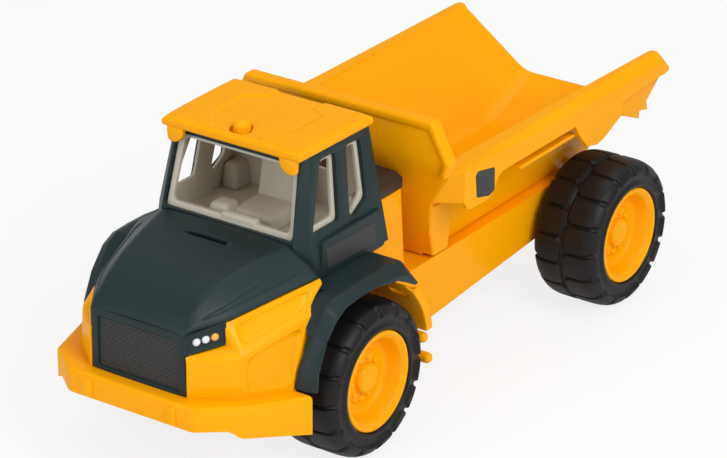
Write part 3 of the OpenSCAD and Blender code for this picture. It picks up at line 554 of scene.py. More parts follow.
lampSettings = {
    "foot": ((161.8, 24.9, 69.8), (146.0, 34.7, 71.8)),
    "head": ((161.8, 24.9, 78.6), (146.0, 34.7, 82.2)),
    "places": (0.3, 0.52, 0.74),
    "up": 4.5, "proud": 0.2,
    "border": 1.1, "slope": 0.5, "sunk": 1.0, "round": 0.3,
    "deep": (-1.2, -6.5, 0),
    "lens": [(0, 0.75), (0.8, 0.66), (1.4, 0.38), (1.75, -0.1), (1.85, -0.8)],
}


def makeLampTray(side, s):
    bm = bmesh.new()
    tray = bm.faces.new(putVerts(bm, (*s["foot"], *reversed(s["head"]))))
    tray.normal_update()
    if tray.normal.y < 0:
        bmesh.ops.reverse_faces(bm, faces=[tray])
    bmesh.ops.inset_individual(bm, faces=[tray], thickness=s["border"], depth=0)
    bmesh.ops.inset_individual(bm, faces=[tray], thickness=s["slope"], depth=-s["sunk"])
    backs = bmesh.ops.extrude_edge_only(bm, edges=openEdges(bm))["geom"]
    bmesh.ops.translate(bm, vec=s["deep"], verts=onlyVerts(backs))
    faceOut(bm)
    if tray.normal.y < 0:
        bmesh.ops.reverse_faces(bm, faces=bm.faces)
    roundOff(bm, [e for e in sharpEdges(bm, 0.5) if e.is_manifold], s["round"], 2)
    mirrorSide(bm, side)
    addPiece(bm, "lampTray" + sideWord(side), "dark_plastic", "chassis")


def makeLamp(name, slotName, side, share, node, s):
    bm = bmesh.new()
    chain, edges = edgeRow(bm, [(r, 0, h) for r, h in s["lens"]])
    turnShape(bm, chain + edges, 32, (0, 0, 1))
    along = Vector(s["foot"][1]) - Vector(s["foot"][0])
    out = Vector((-along.y, along.x, 0)).normalized()
    if out.y < 0:
        out = -out
    spot = Vector(s["foot"][0]) + along * share + Vector((0, 0, s["up"])) - out * (s["sunk"] - s["proud"])
    bmesh.ops.rotate(bm, matrix=Vector((0, 0, 1)).rotation_difference(out).to_matrix(), verts=bm.verts)
    bmesh.ops.translate(bm, vec=spot, verts=bm.verts)
    mirrorSide(bm, side)
    addPiece(bm, name, slotName, "chassis", [node], sharp=60)


for side in (1, -1):
    makeLampTray(side, lampSettings)
    for number, share in enumerate(lampSettings["places"]):
        amber = number == 2
        makeLamp(f"lamp{sideWord(side)}{number}", "lamp_amber" if amber else "lamp_white", side, share,
                 "turn_lamps" if amber else "head_lamps", lampSettings)
print("hood and lamps made")

# nose: the bumper under its ledge, and two cheeks with sunk panels
bumperSettings = {
    "plan": [(123.1, 38.0), (123.1, 62.6), (156.6, 49.0), (158.4, 45.2), (168.2, 33.0)],  # left half from behind
    "inner": [(127.0, 38.0), (128.5, 49.0), (148.0, 37.0), (150.0, 34.0), (158.0, 22.0)],
    "bottom": [28.4, 28.4, 36.6, 39.6, 39.6],
    "ledge": 50.8, "fall": 4.2, "corner": 156.6, "end": 123.1,
    "round": 1.9, "wall": 2.4,
    "rib": {"x": 168.8, "y": 22.3, "wide": 4.6, "z": (39.8, 48.6), "deep": 1.4, "taper": (1, 0.8, 0.86), "round": 0.3},
}


def ledgeAt(x, s):
    return s["ledge"] - s["fall"] * min(1, max(0, (s["corner"] - x) / (s["corner"] - s["end"])))


def bothHalves(points):
    return list(points) + [(x, -y, z) for x, y, z in reversed(points)]


def makeBumper(s):
    bm = bmesh.new()
    inner, top = (edgeRow(bm, bothHalves([(x, y, ledgeAt(x, s)) for x, y in s[key]])) for key in ("inner", "plan"))
    foot = edgeRow(bm, bothHalves([(x, y, z) for (x, y), z in zip(s["plan"], s["bottom"])]))
    bridgeRows(bm, [inner, top, foot])
    faceTowards(bm, (0, 0, 1))
    soft = [e for e in sharpEdges(bm, 0.2) if e.is_manifold and any(v in top[0] for v in e.verts)]
    roundOff(bm, soft, s["round"], 4)
    finishShell(addPiece(bm, "bumperShell", "yellow_plastic", "chassis", ["front_body"], sharp=40), s["wall"], edge=0.5)


def makeBumperRib(side, s):
    bm = bmesh.new()
    foot, head = s["z"]
    middle = Vector((s["x"], side * s["y"], (foot + head) / 2))
    made = bmesh.ops.create_cube(bm, size=1)["verts"]
    bmesh.ops.scale(bm, vec=(s["deep"], s["wide"], head - foot), verts=made)
    bmesh.ops.translate(bm, vec=middle, verts=made)
    face = max(bm.faces, key=lambda f: f.calc_center_median().x)
    bmesh.ops.scale(bm, vec=s["taper"], verts=face.verts, space=Matrix.Translation(-middle))
    roundOff(bm, bm.edges[:], s["round"], 3)
    addPiece(bm, "bumperRib" + sideWord(side), "yellow_plastic", "chassis")


cheekSettings = {
    "shares": [0, 0.08, 0.35, 0.62, 0.9, 1.0],  # columns from the crease to the fender
    "crease": 147.0, "creaseY": 43.3, "spread": 0.4, "upperBack": 0.3,
    "frontX": [162.0, 157.0, 152.0], "frontFall": 1.187,
    "frontTop": (68.2, 0.6, 0.9),  # height at the grille, rise per column, fall per row
    "rear": [122.9, 121.8, 116.6, 111.4, 110.0, 109.8, 109.2, 104.6, 99.6, 99.4],
    "step": (68.0, 76.6), "stepIn": 0.9, "tuck": (0.12, 0.42), "underLamp": 71.4, "edgeIn": 0.3,
    "border": (2.6, 2.2), "overlap": 0.8, "shy": 0.2,
    "inside": (146.4, 33.6), "shelf": [(161.6, 25.0, 69.6), (157.0, 27.9, 70.2), (152.0, 31.0, 70.9)],
    "fold": 0.7, "shelfFold": 0.25, "rimFold": 0.9,
    "sunk": 0.55, "wall": 2.2,
}


def cheekShare(x, s):
    return max(0, (s["crease"] - x) / (s["crease"] - s["rear"][4]))


def cheekLevels(x, s):
    ledge = ledgeAt(x, bumperSettings)
    edge = hoodEdge(x, hoodSettings)[1]
    step = mix(*s["step"], cheekShare(x, s))
    foot, head = s["border"]
    lower = [ledge + foot, mix(ledge + foot, step - head, 0.5), step - head]
    upper = [step + foot, mix(step + foot, edge - head, 0.5), edge - head]
    return [ledge - s["overlap"], *lower, step, step + s["overlap"], *upper, edge - s["shy"]]


def cheekY(x, row, s):
    levels = cheekLevels(x, s)
    foot = s["creaseY"] + (s["crease"] - x) * s["spread"]
    edge = hoodEdge(x, hoodSettings)[0]
    below = mix(foot, edge, mix(*s["tuck"], cheekShare(x, s)))
    if row < 5:
        return mix(foot, below, (levels[row] - levels[0]) / (levels[4] - levels[0]))
    return mix(below - s["stepIn"], edge - s["edgeIn"], (levels[row] - levels[5]) / (levels[9] - levels[5]))


def cheekRow(row, s):
    points = []
    for share in s["shares"]:
        x = mix(s["crease"] - (s["upperBack"] if row > 4 else 0), s["rear"][row], share)
        points.append((x, cheekY(x, row, s), cheekLevels(x, s)[row]))
    if row > 4:
        foot, head = (cheekLevels(s["crease"], s)[i] for i in (5, 9))
        inner = mix(s["underLamp"], head, (points[0][2] - foot) / (head - foot))
        return [(*s["inside"], inner)] + points
    front = []
    top, rise, fall = s["frontTop"]
    for i, x in enumerate(s["frontX"]):
        z = min(cheekLevels(x, s)[row], top + i * rise - (4 - row) * fall)
        front.append((x, s["creaseY"] - (x - s["crease"]) * s["frontFall"], z))
    return front + points


def makeCheek(side, s):
    bm = bmesh.new()
    crease = bm.edges.layers.float.new("crease_edge")
    bm.verts.layers.float.new("crease_vert")
    rows = [edgeRow(bm, cheekRow(row, s)) for row in range(10)]
    bridgeRows(bm, rows[:5])
    bridgeRows(bm, rows[5:])
    step, above = rows[4], rows[5]
    bmesh.ops.bridge_loops(bm, edges=step[1][3:] + above[1][1:])
    shelf = putVerts(bm, s["shelf"]) + [above[0][0]]
    shelfEdges = [bm.edges.new(pair) for pair in zip(shelf, shelf[1:])]
    bmesh.ops.bridge_loops(bm, edges=step[1][:3] + shelfEdges)
    bm.faces.new((step[0][3], above[0][1], above[0][0]))
    faceTowards(bm, (0, 1, 0))
    for e in step[1] + above[1][1:]:
        e[crease] = s["fold"]
    for e in step[1][:3]:
        e[crease] = s["shelfFold"]
    low = {v for row in rows[1:4] for v in row[0][4:8]}
    high = {v for row in rows[6:9] for v in row[0][2:6]}
    for group in (low, high):
        sinkPanel(bm, facesWithin(bm, group), s["sunk"])
    mirrorSide(bm, side)
    piece = addPiece(bm, "cheek" + sideWord(side), "yellow_plastic", "chassis", ["front_body"], sharp=180)
    finishShell(piece, s["wall"], levels=2)
    piece.modifiers["wall"].edge_crease_outer = s["rimFold"]
    piece.modifiers["wall"].edge_crease_rim = s["rimFold"]


makeBumper(bumperSettings)
for side in (1, -1):
    makeBumperRib(side, bumperSettings["rib"])
    makeCheek(side, cheekSettings)
print("nose made")

# grille: a frame with a sunk field of staggered bricks
grilleSettings = {
    "front": 162.0, "halfWidth": 24.9, "foot": 50.9, "head": 79.3, "frame": 3.4, "deep": 3.2, "round": 0.45,
    "sill": 1.6, "tab": 9.0, "tabDrop": 0.9, "narrow": 0.98, "narrowAbove": 70,
    "rows": 20, "columns": 13, "field": (21.9, 52.2, 76.3), "slope": 0.16, "lift": 0.32, "sunk": 1.5, "wall": 1.0,
}


def makeGrilleFrame(s):
    bm = bmesh.new()
    half, bar = s["halfWidth"], s["frame"]
    across = [-half, bar - half, -s["tab"], s["tab"], half - bar, half]
    rows = []
    for z in (s["foot"], s["foot"] + s["sill"], s["head"] - bar, s["head"]):
        narrow = s["narrow"] if z > s["narrowAbove"] else 1
        rows.append(edgeRow(bm, [(s["front"], y * narrow, z) for y in across]))
    bridgeRows(bm, rows)
    opening = set(rows[1][0][1:5]) | set(rows[2][0][1:5])
    bmesh.ops.delete(bm, geom=facesWithin(bm, opening), context="FACES")
    for v in rows[0][0][2:4]:
        v.co.z -= s["tabDrop"]  # tab of the lower bar
    thicken(bm, bm.faces[:], (-s["deep"], 0, 0))
    roundOff(bm, sharpEdges(bm, 0.5), s["round"], 3)
    addPiece(bm, "grilleFrame", "dark_plastic", "chassis")


def makeGrille(s):
    bm = bmesh.new()
    half, z0, z1 = s["field"]
    high = (z1 - z0) / s["rows"]
    wide = 2 * half / s["columns"]
    for row in range(s["rows"]):
        made = bmesh.ops.create_grid(bm, x_segments=s["columns"] + 1, y_segments=1, size=0.5)["verts"]
        bmesh.ops.scale(bm, vec=(wide * (s["columns"] + 1), high, 1), verts=made)
        bmesh.ops.translate(bm, vec=((row % 2 - 0.5) * wide / 2, z0 + (row + 0.5) * high, 0), verts=made)
    for sign in (1, -1):
        whole = bm.verts[:] + bm.edges[:] + bm.faces[:]
        bmesh.ops.bisect_plane(bm, geom=whole, plane_co=(sign * half, 0, 0), plane_no=(sign, 0, 0), clear_outer=True)
    bmesh.ops.remove_doubles(bm, verts=bm.verts, dist=0.01)
    bmesh.ops.inset_individual(bm, faces=bm.faces[:], thickness=s["slope"], depth=s["lift"])
    bmesh.ops.rotate(bm, matrix=Matrix(((0, 0, 1), (1, 0, 0), (0, 1, 0))), verts=bm.verts)
    bmesh.ops.translate(bm, vec=(s["front"] - s["sunk"], 0, 0), verts=bm.verts)
    finishShell(addPiece(bm, "grilleBricks", "grille_plastic", "chassis", ["grille"], sharp=20), s["wall"])


makeGrilleFrame(grilleSettings)
makeGrille(grilleSettings)
print("grille made")

# cab: leaning walls with round-cornered openings, a pale lining inside them, seat and roof
cabSettings = {
    "rear": (41.0, 45.2), "front": 100.0, "foot": 82.0, "cowl": 99.6, "head": 135.6, "middle": (70, 0, 110),
    "lean": 0.25, "half": (42.4, 35.2), "halfAt": (84.7, 135.5), "cut": (5.2, 2.34), "cutShare": 0.6, "round": 0.45,
    "shell": {"inset": 0.0, "shrink": 0.0, "wall": 2.0},
    "lining": {"inset": 2.15, "shrink": 2.0, "wall": 1.5},
    "windshield": [(-34.5, 100.6), (34.5, 100.6), (32.0, 132.2), (-32.0, 132.2)],
    "doorWindow": [(73.4, 102.8), (92.4, 102.8), (81.4, 132.2), (70.4, 132.2)],
    "rearWindow": [(52.5, 105.8), (63.2, 100.5), (65.8, 102.4), (62.6, 132.2), (52.4, 132.2)],
    "backWindow": [(-22.0, 108.0), (22.0, 108.0), (20.5, 131.0), (-20.5, 131.0)],
    "corners": {"windshield": 3.0, "doorWindow": 2.0, "rearWindow": 2.0, "backWindow": 2.0},
    "shrinkAcross": {"windshield": 1.6},
    "sidePanel": {"outline": [(43.0, 80.2), (91.0, 80.2), (88.2, 98.6), (45.5, 98.6)],
                  "y": 38.0, "thick": 4.5, "corner": 2.2},
    "blankPlate": {"outline": [(50.4, 83.6), (85.4, 85.2), (87.2, 94.8), (50.4, 94.2)],
                   "y": 41.9, "thick": 0.9, "corner": 0.8},
}


def cabHalf(z, s):
    foot, head = s["halfAt"]
    return mix(*s["half"], (z - foot) / (head - foot))


def cabFront(z, s):
    return s["front"] - max(0, z - s["cowl"]) * s["lean"]


def cabRear(z, s):
    return mix(*s["rear"], (z - s["foot"]) / (s["head"] - s["foot"]))


def cabCut(z, s):
    return mix(*s["cut"], max(0, z - s["cowl"]) / (s["head"] - s["cowl"]))


def roundCorners(points, radius, steps=5):
    rounded = []
    for i, corner in enumerate(points):
        c = Vector(corner)
        near = (points[i - 1], points[(i + 1) % len(points)])
        before, after = ((Vector(q) - c).normalized() * radius for q in near)
        for k in range(steps + 1):
            a = k / steps
            rounded.append(c + before * (1 - a) ** 2 + after * a ** 2)
    return rounded


def shrinkWindow(points, across, up):
    middle = sum((Vector(q) for q in points), Vector((0, 0))) / len(points)
    return [(x + math.copysign(across, middle.x - x), z + math.copysign(up, middle.y - z)) for x, z in points]


def closedLoop(bm, points):
    loop = putVerts(bm, points)
    return [bm.edges.new(pair) for pair in zip(loop, loop[1:] + loop[:1])]


def fillWall(bm, outline, windows, place):
    edges = closedLoop(bm, [place(*q) for q in outline])
    for window in windows:
        edges += closedLoop(bm, [place(*q) for q in window])
    bmesh.ops.triangle_fill(bm, edges=edges, use_beauty=True)


def makeCabWalls(name, slotName, node, part, s):
    bm = bmesh.new()
    d = part["inset"]
    levels = (s["foot"], s["cowl"], s["head"])
    openings = {}
    for key, corner in s["corners"].items():
        across = part["shrink"] * s["shrinkAcross"].get(key, 1.0)
        openings[key] = roundCorners(shrinkWindow(s[key], across, part["shrink"]), corner)
    half = {z: cabHalf(z, s) - d for z in levels}
    front = {z: cabFront(z, s) - d for z in levels}
    cut = {z: cabCut(z, s) - d * (1 - s["cutShare"]) for z in levels}
    frontEdge = [(half[z] - cut[z], z) for z in levels]
    for edge, windows in ((frontEdge[1:], [openings["windshield"]]), (frontEdge[:2], [])):
        fillWall(bm, edge + [(-y, z) for y, z in reversed(edge)], windows, lambda y, z: (cabFront(z, s) - d, y, z))
    fillWall(bm, [(half[z], z) for z in levels] + [(-half[z], z) for z in reversed(levels)],
             [openings["backWindow"]], lambda y, z: (cabRear(z, s) + d, y, z))
    sideEdge = [(front[z] - cut[z], z) for z in levels] + [(cabRear(z, s) + d, z) for z in reversed(levels)]
    for side in (1, -1):
        fillWall(bm, sideEdge, [openings["doorWindow"], openings["rearWindow"]],
                 lambda x, z: (x, side * (cabHalf(z, s) - d), z))
        for a, b in zip(levels, levels[1:]):
            corners = [(front[z], side * (half[z] - cut[z]), z) for z in (a, b)]
            corners += [(front[z] - cut[z], side * half[z], z) for z in (b, a)]
            bm.faces.new(putVerts(bm, corners))
    bmesh.ops.remove_doubles(bm, verts=bm.verts, dist=0.02)
    faceOut(bm)
    middle = Vector(s["middle"])
    if sum(f.normal.dot(f.calc_center_median() - middle) * f.calc_area() for f in bm.faces) < 0:
        bmesh.ops.reverse_faces(bm, faces=bm.faces)
    finishShell(addPiece(bm, name, slotName, "chassis", [node], sharp=30), part["wall"], edge=s["round"])


def softBlock(bm, low, high, radius, taper=(1.0, 1.0), lean=0.0):
    made = bmesh.ops.create_cube(bm, size=1)["verts"]
    bmesh.ops.scale(bm, vec=Vector(high) - Vector(low), verts=made)
    top = [v for v in made if v.co.z > 0]
    bmesh.ops.scale(bm, vec=(*taper, 1), verts=top)
    bmesh.ops.translate(bm, vec=(lean, 0, 0), verts=top)
    rounded = roundOff(bm, list({e for v in made for e in v.link_edges}), radius, 4)
    bmesh.ops.translate(bm, vec=(Vector(low) + Vector(high)) / 2, verts=rounded["verts"])


seatSettings = {
    "seatBack": {"low": (57.0, -11.5, 95.0), "high": (64.5, 11.5, 118.0),
                 "radius": 2.4, "taper": (0.8, 0.92), "lean": -3.0},
    "headRest": {"low": (54.5, -7.0, 116.0), "high": (59.5, 7.0, 123.0),
                 "radius": 2.0, "taper": (0.9, 0.9), "lean": -0.8},
    "cushion": {"low": (58.0, -12.0, 91.5), "high": (83.0, 12.0, 99.0), "radius": 2.4, "taper": (0.96, 0.94)},
    "console": {"low": (78.0, -20.0, 91.5), "high": (90.0, -8.0, 101.5),
                "radius": 2.2, "taper": (0.8, 0.8), "lean": -1.0},
    "sideBoxLeft": {"low": (44.0, 28.0, 91.5), "high": (56.0, 37.0, 104.0), "radius": 2.2, "taper": (0.9, 0.86)},
    "sideBoxRight": {"low": (44.0, -37.0, 91.5), "high": (56.0, -28.0, 104.0), "radius": 2.2, "taper": (0.9, 0.86)},
    "floor": {"low": (43.5, -38.2, 86.0), "high": (97.2, 38.2, 92.0), "radius": 0.6},
    "dash": {"low": (89.0, -34.0, 91.0), "high": (97.4, 34.0, 100.4), "radius": 1.4, "taper": (0.8, 0.98), "lean": 0.6},
    "sillBox": {"low": (92.6, -6.0, 99.6), "high": (97.6, 13.6, 103.6),
                "radius": 0.9, "taper": (0.8, 0.9), "lean": 0.2},
}


def makeSeat(settings):
    bm = bmesh.new()
    for s in settings.values():
        softBlock(bm, **s)
    addPiece(bm, "cabSeat", "liner_plastic", "chassis", ["seat"], sharp=45)


def makePlate(name, slotName, body, side, s):
    bm = bmesh.new()
    points = roundCorners(s["outline"], s["corner"]) if s["corner"] else s["outline"]
    loop = closedLoop(bm, [(x, s["y"], z) for x, z in points])
    face = bm.faces.new([e.verts[0] for e in loop])
    face.normal_update()
    if face.normal.y < 0:
        bmesh.ops.reverse_faces(bm, faces=[face])
    thicken(bm, [face], (0, s["thick"], 0))
    roundOff(bm, sharpEdges(bm, 1.0), min(s["thick"], 1.0) * 0.4, 3)
    mirrorSide(bm, side)
    addPiece(bm, name + sideWord(side), slotName, body, sharp=35)


def makeCab(s):
    makeCabWalls("cabShell", "dark_plastic", "cab_shell", s["shell"], s)
    makeCabWalls("cabLining", "liner_plastic", "cab_liner", s["lining"], s)
    for side in (1, -1):
        makePlate("sidePanel", "dark_plastic", "chassis", side, s["sidePanel"])
        makePlate("blankPlate", "grille_plastic", "chassis", side, s["blankPlate"])


makeCab(cabSettings)
makeSeat(seatSettings)

roofSettings = {
    # x, half width of the sunk field, height, depth of the field
    "rows": [(44.6, 12.4, 140.4, 0.8), (46.4, 12.4, 140.7, 0.8), (54.0, 12.4, 140.9, 0.8), (59.0, 21.0, 140.95, 0.8),
             (70.0, 20.6, 141.0, 0.8), (81.4, 20.0, 140.95, 0.8), (90.4, 12.8, 140.8, 0.8), (93.0, 12.8, 140.6, 0.8),
             (94.2, 12.8, 140.5, 0.0), (96.8, 12.8, 140.2, 0.0)],
    "half": (37.2, 36.4), "foot": 135.8, "round": 1.5, "corner": 3.2, "upright": 3,
    "edgeDrop": 0.5, "edgeWide": 6, "slope": 0.8,
    "socket": {"square": 6.4, "radius": 5.5, "deep": 2.2, "top": 140.1, "reach": 12, "round": 0.5},
    "tab": [(25.2, 136.6), (25.6, 132.8), (27.4, 130.4), (30.0, 129.3), (32.6, 129.4), (33.8, 130.4), (34.4, 136.6)],
    "tabX": (93.6, 96.6), "tabRound": 0.8,
}


def roofRow(x, field, top, sunk, s):
    start, end = s["rows"][0][0], s["rows"][-1][0]
    edge = mix(*s["half"], (x - start) / (end - start))
    half = [(edge, top - s["edgeDrop"]), (edge - s["edgeWide"], top), (field + s["slope"], top)]
    half += [(y, top - sunk) for y in (field - s["slope"], field * 0.5, 0)]
    return [(x, y, z) for y, z in half] + [(x, -y, z) for y, z in reversed(half[:-1])]


def sinkSocket(bm, s):
    low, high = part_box("beacon")
    x = (low[0] + high[0]) / 2 / mm
    for sign in (1, -1):
        for place, normal in (((x + sign * s["square"], 0, 0), (1, 0, 0)), ((x, sign * s["square"], 0), (0, 1, 0))):
            near = [f for f in bm.faces if f.normal.z > 0.5 and abs(f.calc_center_median().y) < s["reach"]]
            parts = near + list({e for f in near for e in f.edges}) + list({v for f in near for v in f.verts})
            bmesh.ops.bisect_plane(bm, geom=parts, plane_co=place, plane_no=normal)
    inside = []
    for f in bm.faces:
        c = f.calc_center_median()
        if f.normal.z > 0.5 and max(abs(c.x - x), abs(c.y)) < s["square"]:
            inside.append(f)
    bmesh.ops.delete(bm, geom=inside, context="FACES")
    square = openEdges(bm)
    place = Matrix.Translation((x, 0, s["top"]))
    ring = bmesh.ops.create_circle(bm, segments=40, radius=s["radius"], matrix=place)["verts"]
    circle = list({e for v in ring for e in v.link_edges})
    bmesh.ops.bridge_loops(bm, edges=square + circle)
    made = bmesh.ops.extrude_edge_only(bm, edges=circle)["geom"]
    bmesh.ops.translate(bm, vec=(0, 0, -s["deep"]), verts=onlyVerts(made))
    bmesh.ops.holes_fill(bm, edges=openEdges(bm))
    faceOut(bm)
    roundOff(bm, circle, s["round"], 3)


def riseOf(e):
    return abs(e.verts[0].co.z - e.verts[1].co.z)


def makeRoof(s):
    bm = bmesh.new()
    bridgeRows(bm, [edgeRow(bm, roofRow(*row, s)) for row in s["rows"]])
    rim = openEdges(bm)
    for v in onlyVerts(bmesh.ops.extrude_edge_only(bm, edges=rim)["geom"]):
        v.co.z = s["foot"]
    corners = [e for e in sharpEdges(bm, 1) if len(e.link_faces) == 2 and riseOf(e) > s["upright"]]
    bmesh.ops.contextual_create(bm, geom=openEdges(bm))
    faceOut(bm)
    roundOff(bm, corners, s["corner"], 8)
    walls = [f for f in bm.faces if abs(f.normal.z) < 0.5 and f.calc_area() > 4]
    walls = [f for f in walls if min(v.co.z for v in f.verts) < s["foot"] + 0.1]
    outer = [e for e in sharpEdges(bm, 0.7) if any(f in walls for f in e.link_faces) and riseOf(e) < s["upright"]]
    roundOff(bm, outer, s["round"], 7)
    sinkSocket(bm, s["socket"])
    flatten(addPiece(bm, "roofPanel", "yellow_plastic", "chassis", ["roof"], sharp=17))


def makeVisorTab(side, s):
    bm = bmesh.new()
    back, front = s["tabX"]
    loop = closedLoop(bm, [(back, y, z) for y, z in s["tab"]])
    thicken(bm, [bm.faces.new([e.verts[0] for e in loop])], (front - back, 0, 0))
    roundOff(bm, sharpEdges(bm, 0.9), s["tabRound"], 3)
    mirrorSide(bm, side)
    addPiece(bm, "visorTab" + sideWord(side), "yellow_plastic", "chassis")


makeRoof(roofSettings)
for side in (1, -1):
    makeVisorTab(side, roofSettings)
print("cab made")

# bed: a folded tub, the leaning headboard with its round rim, rails with a hanging band, small parts
bedSettings = {
    # x at the rail and at the floor, heights of floor and underside, their half widths
    "tub": [(-160.0, -168.4, 76.2, 73.4, 21.3, 29.0), (-137.0, -137.0, 60.2, 57.4, 23.5, 33.0),
            (16.4, 2.4, 60.2, 57.4, 23.5, 34.0)],
    "rail": 106.6, "topHalf": (52.8, 52.2, 48.1), "wall": 2.8, "fold": 5.0,
    "board": [(2.6, 34.4, 57.5), (11.7, 45.4, 89.0), (16.7, 57.2, 106.6), (18.4, 58.4, 112.9), (18.4, 49.4, 129.0)],
    "rimX": (12.6, 19.6), "rimRound": 1.8,
    "rimOuter": [(57.6, 105.4), (59.9, 112.9), (50.6, 131.0)],
    "rimInner": [(53.4, 105.4), (55.4, 112.4), (47.8, 126.4)],
    "band": [(6.6, 90.6), (4.6, 87.4), (1.4, 85.9), (-13.4, 85.9), (-16.4, 88.4), (-20.0, 93.8), (-24.0, 95.3),
             (-54.0, 95.3), (-84.2, 95.3), (-87.6, 90.0), (-94.7, 82.0), (-103.9, 79.8), (-109.4, 80.9),
             (-124.2, 87.0), (-125.2, 93.8), (-158.0, 95.2)],
    "bandFront": [(16.5, 48.2, 106.9), (16.5, 55.0, 106.9), (16.5, 57.3, 106.3), (11.6, 45.0, 89.0)],
    "bandTail": [(-161.0, 53.0, 106.5), (-161.5, 56.0, 106.2), (-162.5, 59.4, 100.8), (-163.0, 59.4, 95.0)],
    "bandTip": [(-167.6, 53.2, 98.4), (-167.8, 56.0, 98.2), (-167.8, 59.0, 97.4), (-167.4, 59.0, 95.2)],
    "bandRun": 170, "bandOut": 59.5, "bandTop": 106.9, "flat": 56.0, "shoulder": (106.0, 101.2), "bandWall": 2.3,
    "foot": [((-9.0, 31.0, 58.4), (2.7, 40.8, 58.4)), ((-10.2, 33.0, 72.0), (6.6, 41.4, 72.0)),
             ((-3.0, 39.0, 86.5), (10.6, 44.8, 86.5))],
    "footRound": 1.4,
    "ledge": {"low": (-88.6, 44.0, 88.2), "high": (-42.5, 56.8, 90.3), "radius": 0.8},
    "teeth": {"outline": [(-126.0, 97.5), (-130.1, 91.6), (-132.3, 83.3), (-147.9, 76.4), (-148.5, 80.2),
                          (-155.8, 78.4), (-154.6, 83.2), (-166.4, 92.2), (-164.6, 97.5)],
              "y": 52.4, "thick": 2.6, "corner": 0},
    "badge": {"outline": [(-3.5, 102.5), (-16.7, 99.8), (-16.7, 88.8), (-12.3, 87.6), (-2.8, 90.1), (-1.7, 100.9)],
              "y": 59.0, "thick": 0.9, "corner": 0.9},
    "lug": {"pivot": (-130.0, 50.6), "radius": 6.4, "hole": 2.06, "top": 58.6, "y": (15.5, 23.5)},
}


def joinRings(bm, rings):
    for a, b in zip(rings, rings[1:]):
        for i in range(len(a)):
            k = (i + 1) % len(a)
            bm.faces.new((a[i], a[k], b[k], b[i]))


def closeRings(bm, rings, radius, angle):
    joinRings(bm, rings)
    for r in (rings[0], rings[-1]):
        bm.faces.new(r)
    faceOut(bm)
    roundOff(bm, sharpEdges(bm, angle), radius, 4)


def makeTub(s):
    bm = bmesh.new()
    rings = []
    for (top, foot, floor, under, inside, outside), half in zip(s["tub"], s["topHalf"]):
        rail = s["rail"]
        left = [(top, half, rail), (foot, inside, floor), (top, half + s["wall"], rail), (foot, outside, under)]
        right = [(x, -y, z) for x, y, z in left]
        ring = (left[0], left[1], right[1], right[0], right[2], right[3], left[3], left[2])
        rings.append(putVerts(bm, ring))
    joinRings(bm, rings)
    for r in (rings[0], rings[-1]):
        for corners in ((0, 1, 6, 7), (1, 2, 5, 6), (2, 3, 4, 5)):
            bm.faces.new([r[k] for k in corners])
    faceOut(bm)
    inside = [{a[k], b[k]} for a, b in zip(rings, rings[1:]) for k in (1, 2)]
    folds = [e for e in bm.edges if set(e.verts) in inside]
    folds += [e for e in bm.edges if set(e.verts) == {rings[1][1], rings[1][2]}]
    roundOff(bm, folds, s["fold"], 5)
    flatten(addPiece(bm, "bedTub", "yellow_plastic", "bed", ["bed"], sharp=30), 0.8)


def makeHeadboard(s):
    bm = bmesh.new()
    bridgeRows(bm, [edgeRow(bm, [(x, y, z), (x, -y, z)]) for x, y, z in s["board"]])
    faceTowards(bm, (1, 0, 0))
    finishShell(addPiece(bm, "bedHeadboard", "yellow_plastic", "bed", sharp=30), s["wall"], edge=0.7)
    bm = bmesh.new()
    back, front = s["rimX"]
    rings = []
    outer, inner = ([*half, *((-y, z) for y, z in reversed(half))] for half in (s["rimOuter"], s["rimInner"]))
    for a, b in zip(outer, inner):
        rings.append(putVerts(bm, ((front, *a), (front, *b), (back, *b), (back, *a))))
    closeRings(bm, rings, s["rimRound"], 0.4)
    flatten(addPiece(bm, "bedRim", "yellow_plastic", "bed", sharp=40))


def bandRow(x, bottom, s):
    back = (s["band"][0][0] - x) / s["bandRun"]
    inner = mix(s["topHalf"][-1], s["topHalf"][0], back)
    return [(x, inner, s["bandTop"]), (x, s["flat"], s["bandTop"]),
            (x, s["bandOut"], mix(*s["shoulder"], back)), (x, s["bandOut"], bottom)]


def makeRail(side, s):
    bm = bmesh.new()
    rows = [s["bandFront"]] + [bandRow(x, bottom, s) for x, bottom in s["band"]] + [s["bandTail"], s["bandTip"]]
    bridgeRows(bm, [edgeRow(bm, row) for row in rows])
    faceTowards(bm, (0, 0, 1))
    mirrorSide(bm, side)
    piece = addPiece(bm, "bedRail" + sideWord(side), "yellow_plastic", "bed", sharp=32)
    finishShell(piece, s["bandWall"])
    flatten(piece, 1.0)


def makeBedFoot(side, s):
    bm = bmesh.new()
    rings = []
    for (x0, y0, z), (x1, y1, _) in s["foot"]:
        rings.append(putVerts(bm, ((x0, y0, z), (x1, y0, z), (x1, y1, z), (x0, y1, z))))
    closeRings(bm, rings, s["footRound"], 0.3)
    mirrorSide(bm, side)
    flatten(addPiece(bm, "bedFoot" + sideWord(side), "yellow_plastic", "bed", sharp=40))


def makeLug(side, s):
    bm = bmesh.new()
    x, z = s["pivot"]
    inside, outside = s["y"]
    turns = [math.pi + math.pi * k / 24 for k in range(25)]
    outline = [(x + s["radius"] * math.cos(a), z + s["radius"] * math.sin(a)) for a in turns]
    outline += [(x + s["radius"], s["top"]), (x - s["radius"], s["top"])]
    hole = [(x + s["hole"] * math.cos(2 * a), z + s["hole"] * math.sin(2 * a)) for a in turns[:-1]]
    fillWall(bm, outline, [hole], lambda px, pz: (px, inside, pz))
    thicken(bm, bm.faces[:], (0, outside - inside, 0))
    mirrorSide(bm, side)
    addPiece(bm, "bedLug" + sideWord(side), "yellow_plastic", "bed", sharp=35)


def makeLedge(side, s):
    bm = bmesh.new()
    softBlock(bm, **s)
    mirrorSide(bm, side)
    addPiece(bm, "bedLedge" + sideWord(side), "yellow_plastic", "bed")


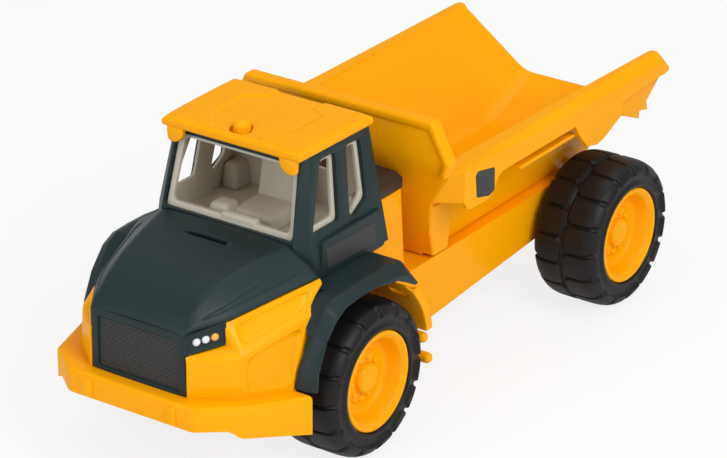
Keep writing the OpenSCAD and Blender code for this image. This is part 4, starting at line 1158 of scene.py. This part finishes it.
def makeBed(s):
    makeTub(s)
    makeHeadboard(s)
    for side in (1, -1):
        makeRail(side, s)
        makeBedFoot(side, s)
        makeLug(side, s["lug"])
        makeLedge(side, s["ledge"])
        makePlate("bedTeeth", "yellow_plastic", "bed", side, s["teeth"])
        makePlate("bedBadge", "grille_plastic", "bed", side, s["badge"])


makeBed(bedSettings)
print("bed made")

# studio: pale floor that stays white round its soft shadow, three soft lamps
lightSettings = {
    "lamps": {
        "keyLamp": {"place": (0.45, 1.2, 1.05), "size": 1.0, "power": 14.5},
        "fillLamp": {"place": (1.45, -0.3, 0.7), "size": 1.0, "power": 6},
        "topLamp": {"place": (-0.4, 0.0, 1.6), "size": 1.3, "power": 5.2},
    },
    "aim": (0, 0, 0.06),
    "world": 0.46,
    "floor": {"half": 4, "glow": 0.82, "mirrored": 0.4},
}


def makeStudio(s):
    for name, row in s["lamps"].items():
        data = bpy.data.lights.new(name, "AREA")
        data.shape = "DISK"
        data.size = row["size"]
        data.energy = row["power"]
        lamp = bpy.data.objects.new(name, data)
        scene.collection.objects.link(lamp)
        lamp.location = row["place"]
        lamp.rotation_euler = (Vector(s["aim"]) - lamp.location).to_track_quat("-Z", "Y").to_euler()
    world = bpy.data.worlds.new("studio")
    scene.world = world
    world.use_nodes = True
    world.node_tree.nodes["Background"].inputs["Color"].default_value = (1, 1, 1, 1)
    world.node_tree.nodes["Background"].inputs["Strength"].default_value = s["world"]
    bm = bmesh.new()
    bmesh.ops.create_grid(bm, x_segments=1, y_segments=1, size=s["floor"]["half"])
    mesh = bpy.data.meshes.new("studioFloor")
    bm.to_mesh(mesh)
    bm.free()
    floor = bpy.data.objects.new("studioFloor", mesh)
    scene.collection.objects.link(floor)
    f = Finish("floorPaper")
    f.shade({"Base Color": (0.9, 0.9, 0.9, 1), "Roughness": 0.9})
    mirrored = f.node("LightPath", output="Is Glossy Ray") + f.node("LightPath", output="Is Transmission Ray")
    seen = f.node("LightPath", output="Is Camera Ray") + mirrored * s["floor"]["mirrored"]
    glow = f.node("Emission", {}, {"Color": (1, 1, 1, 1), "Strength": 1.0})
    both = f.node("MixShader", {}, {0: seen * s["floor"]["glow"], 1: Wire(f.tree, f.shader.outputs[0]), 2: glow})
    plug(f.tree, both, f.tree.nodes["Material Output"].inputs["Surface"])
    mesh.materials.append(f.material)


makeStudio(lightSettings)
print("studio lit")
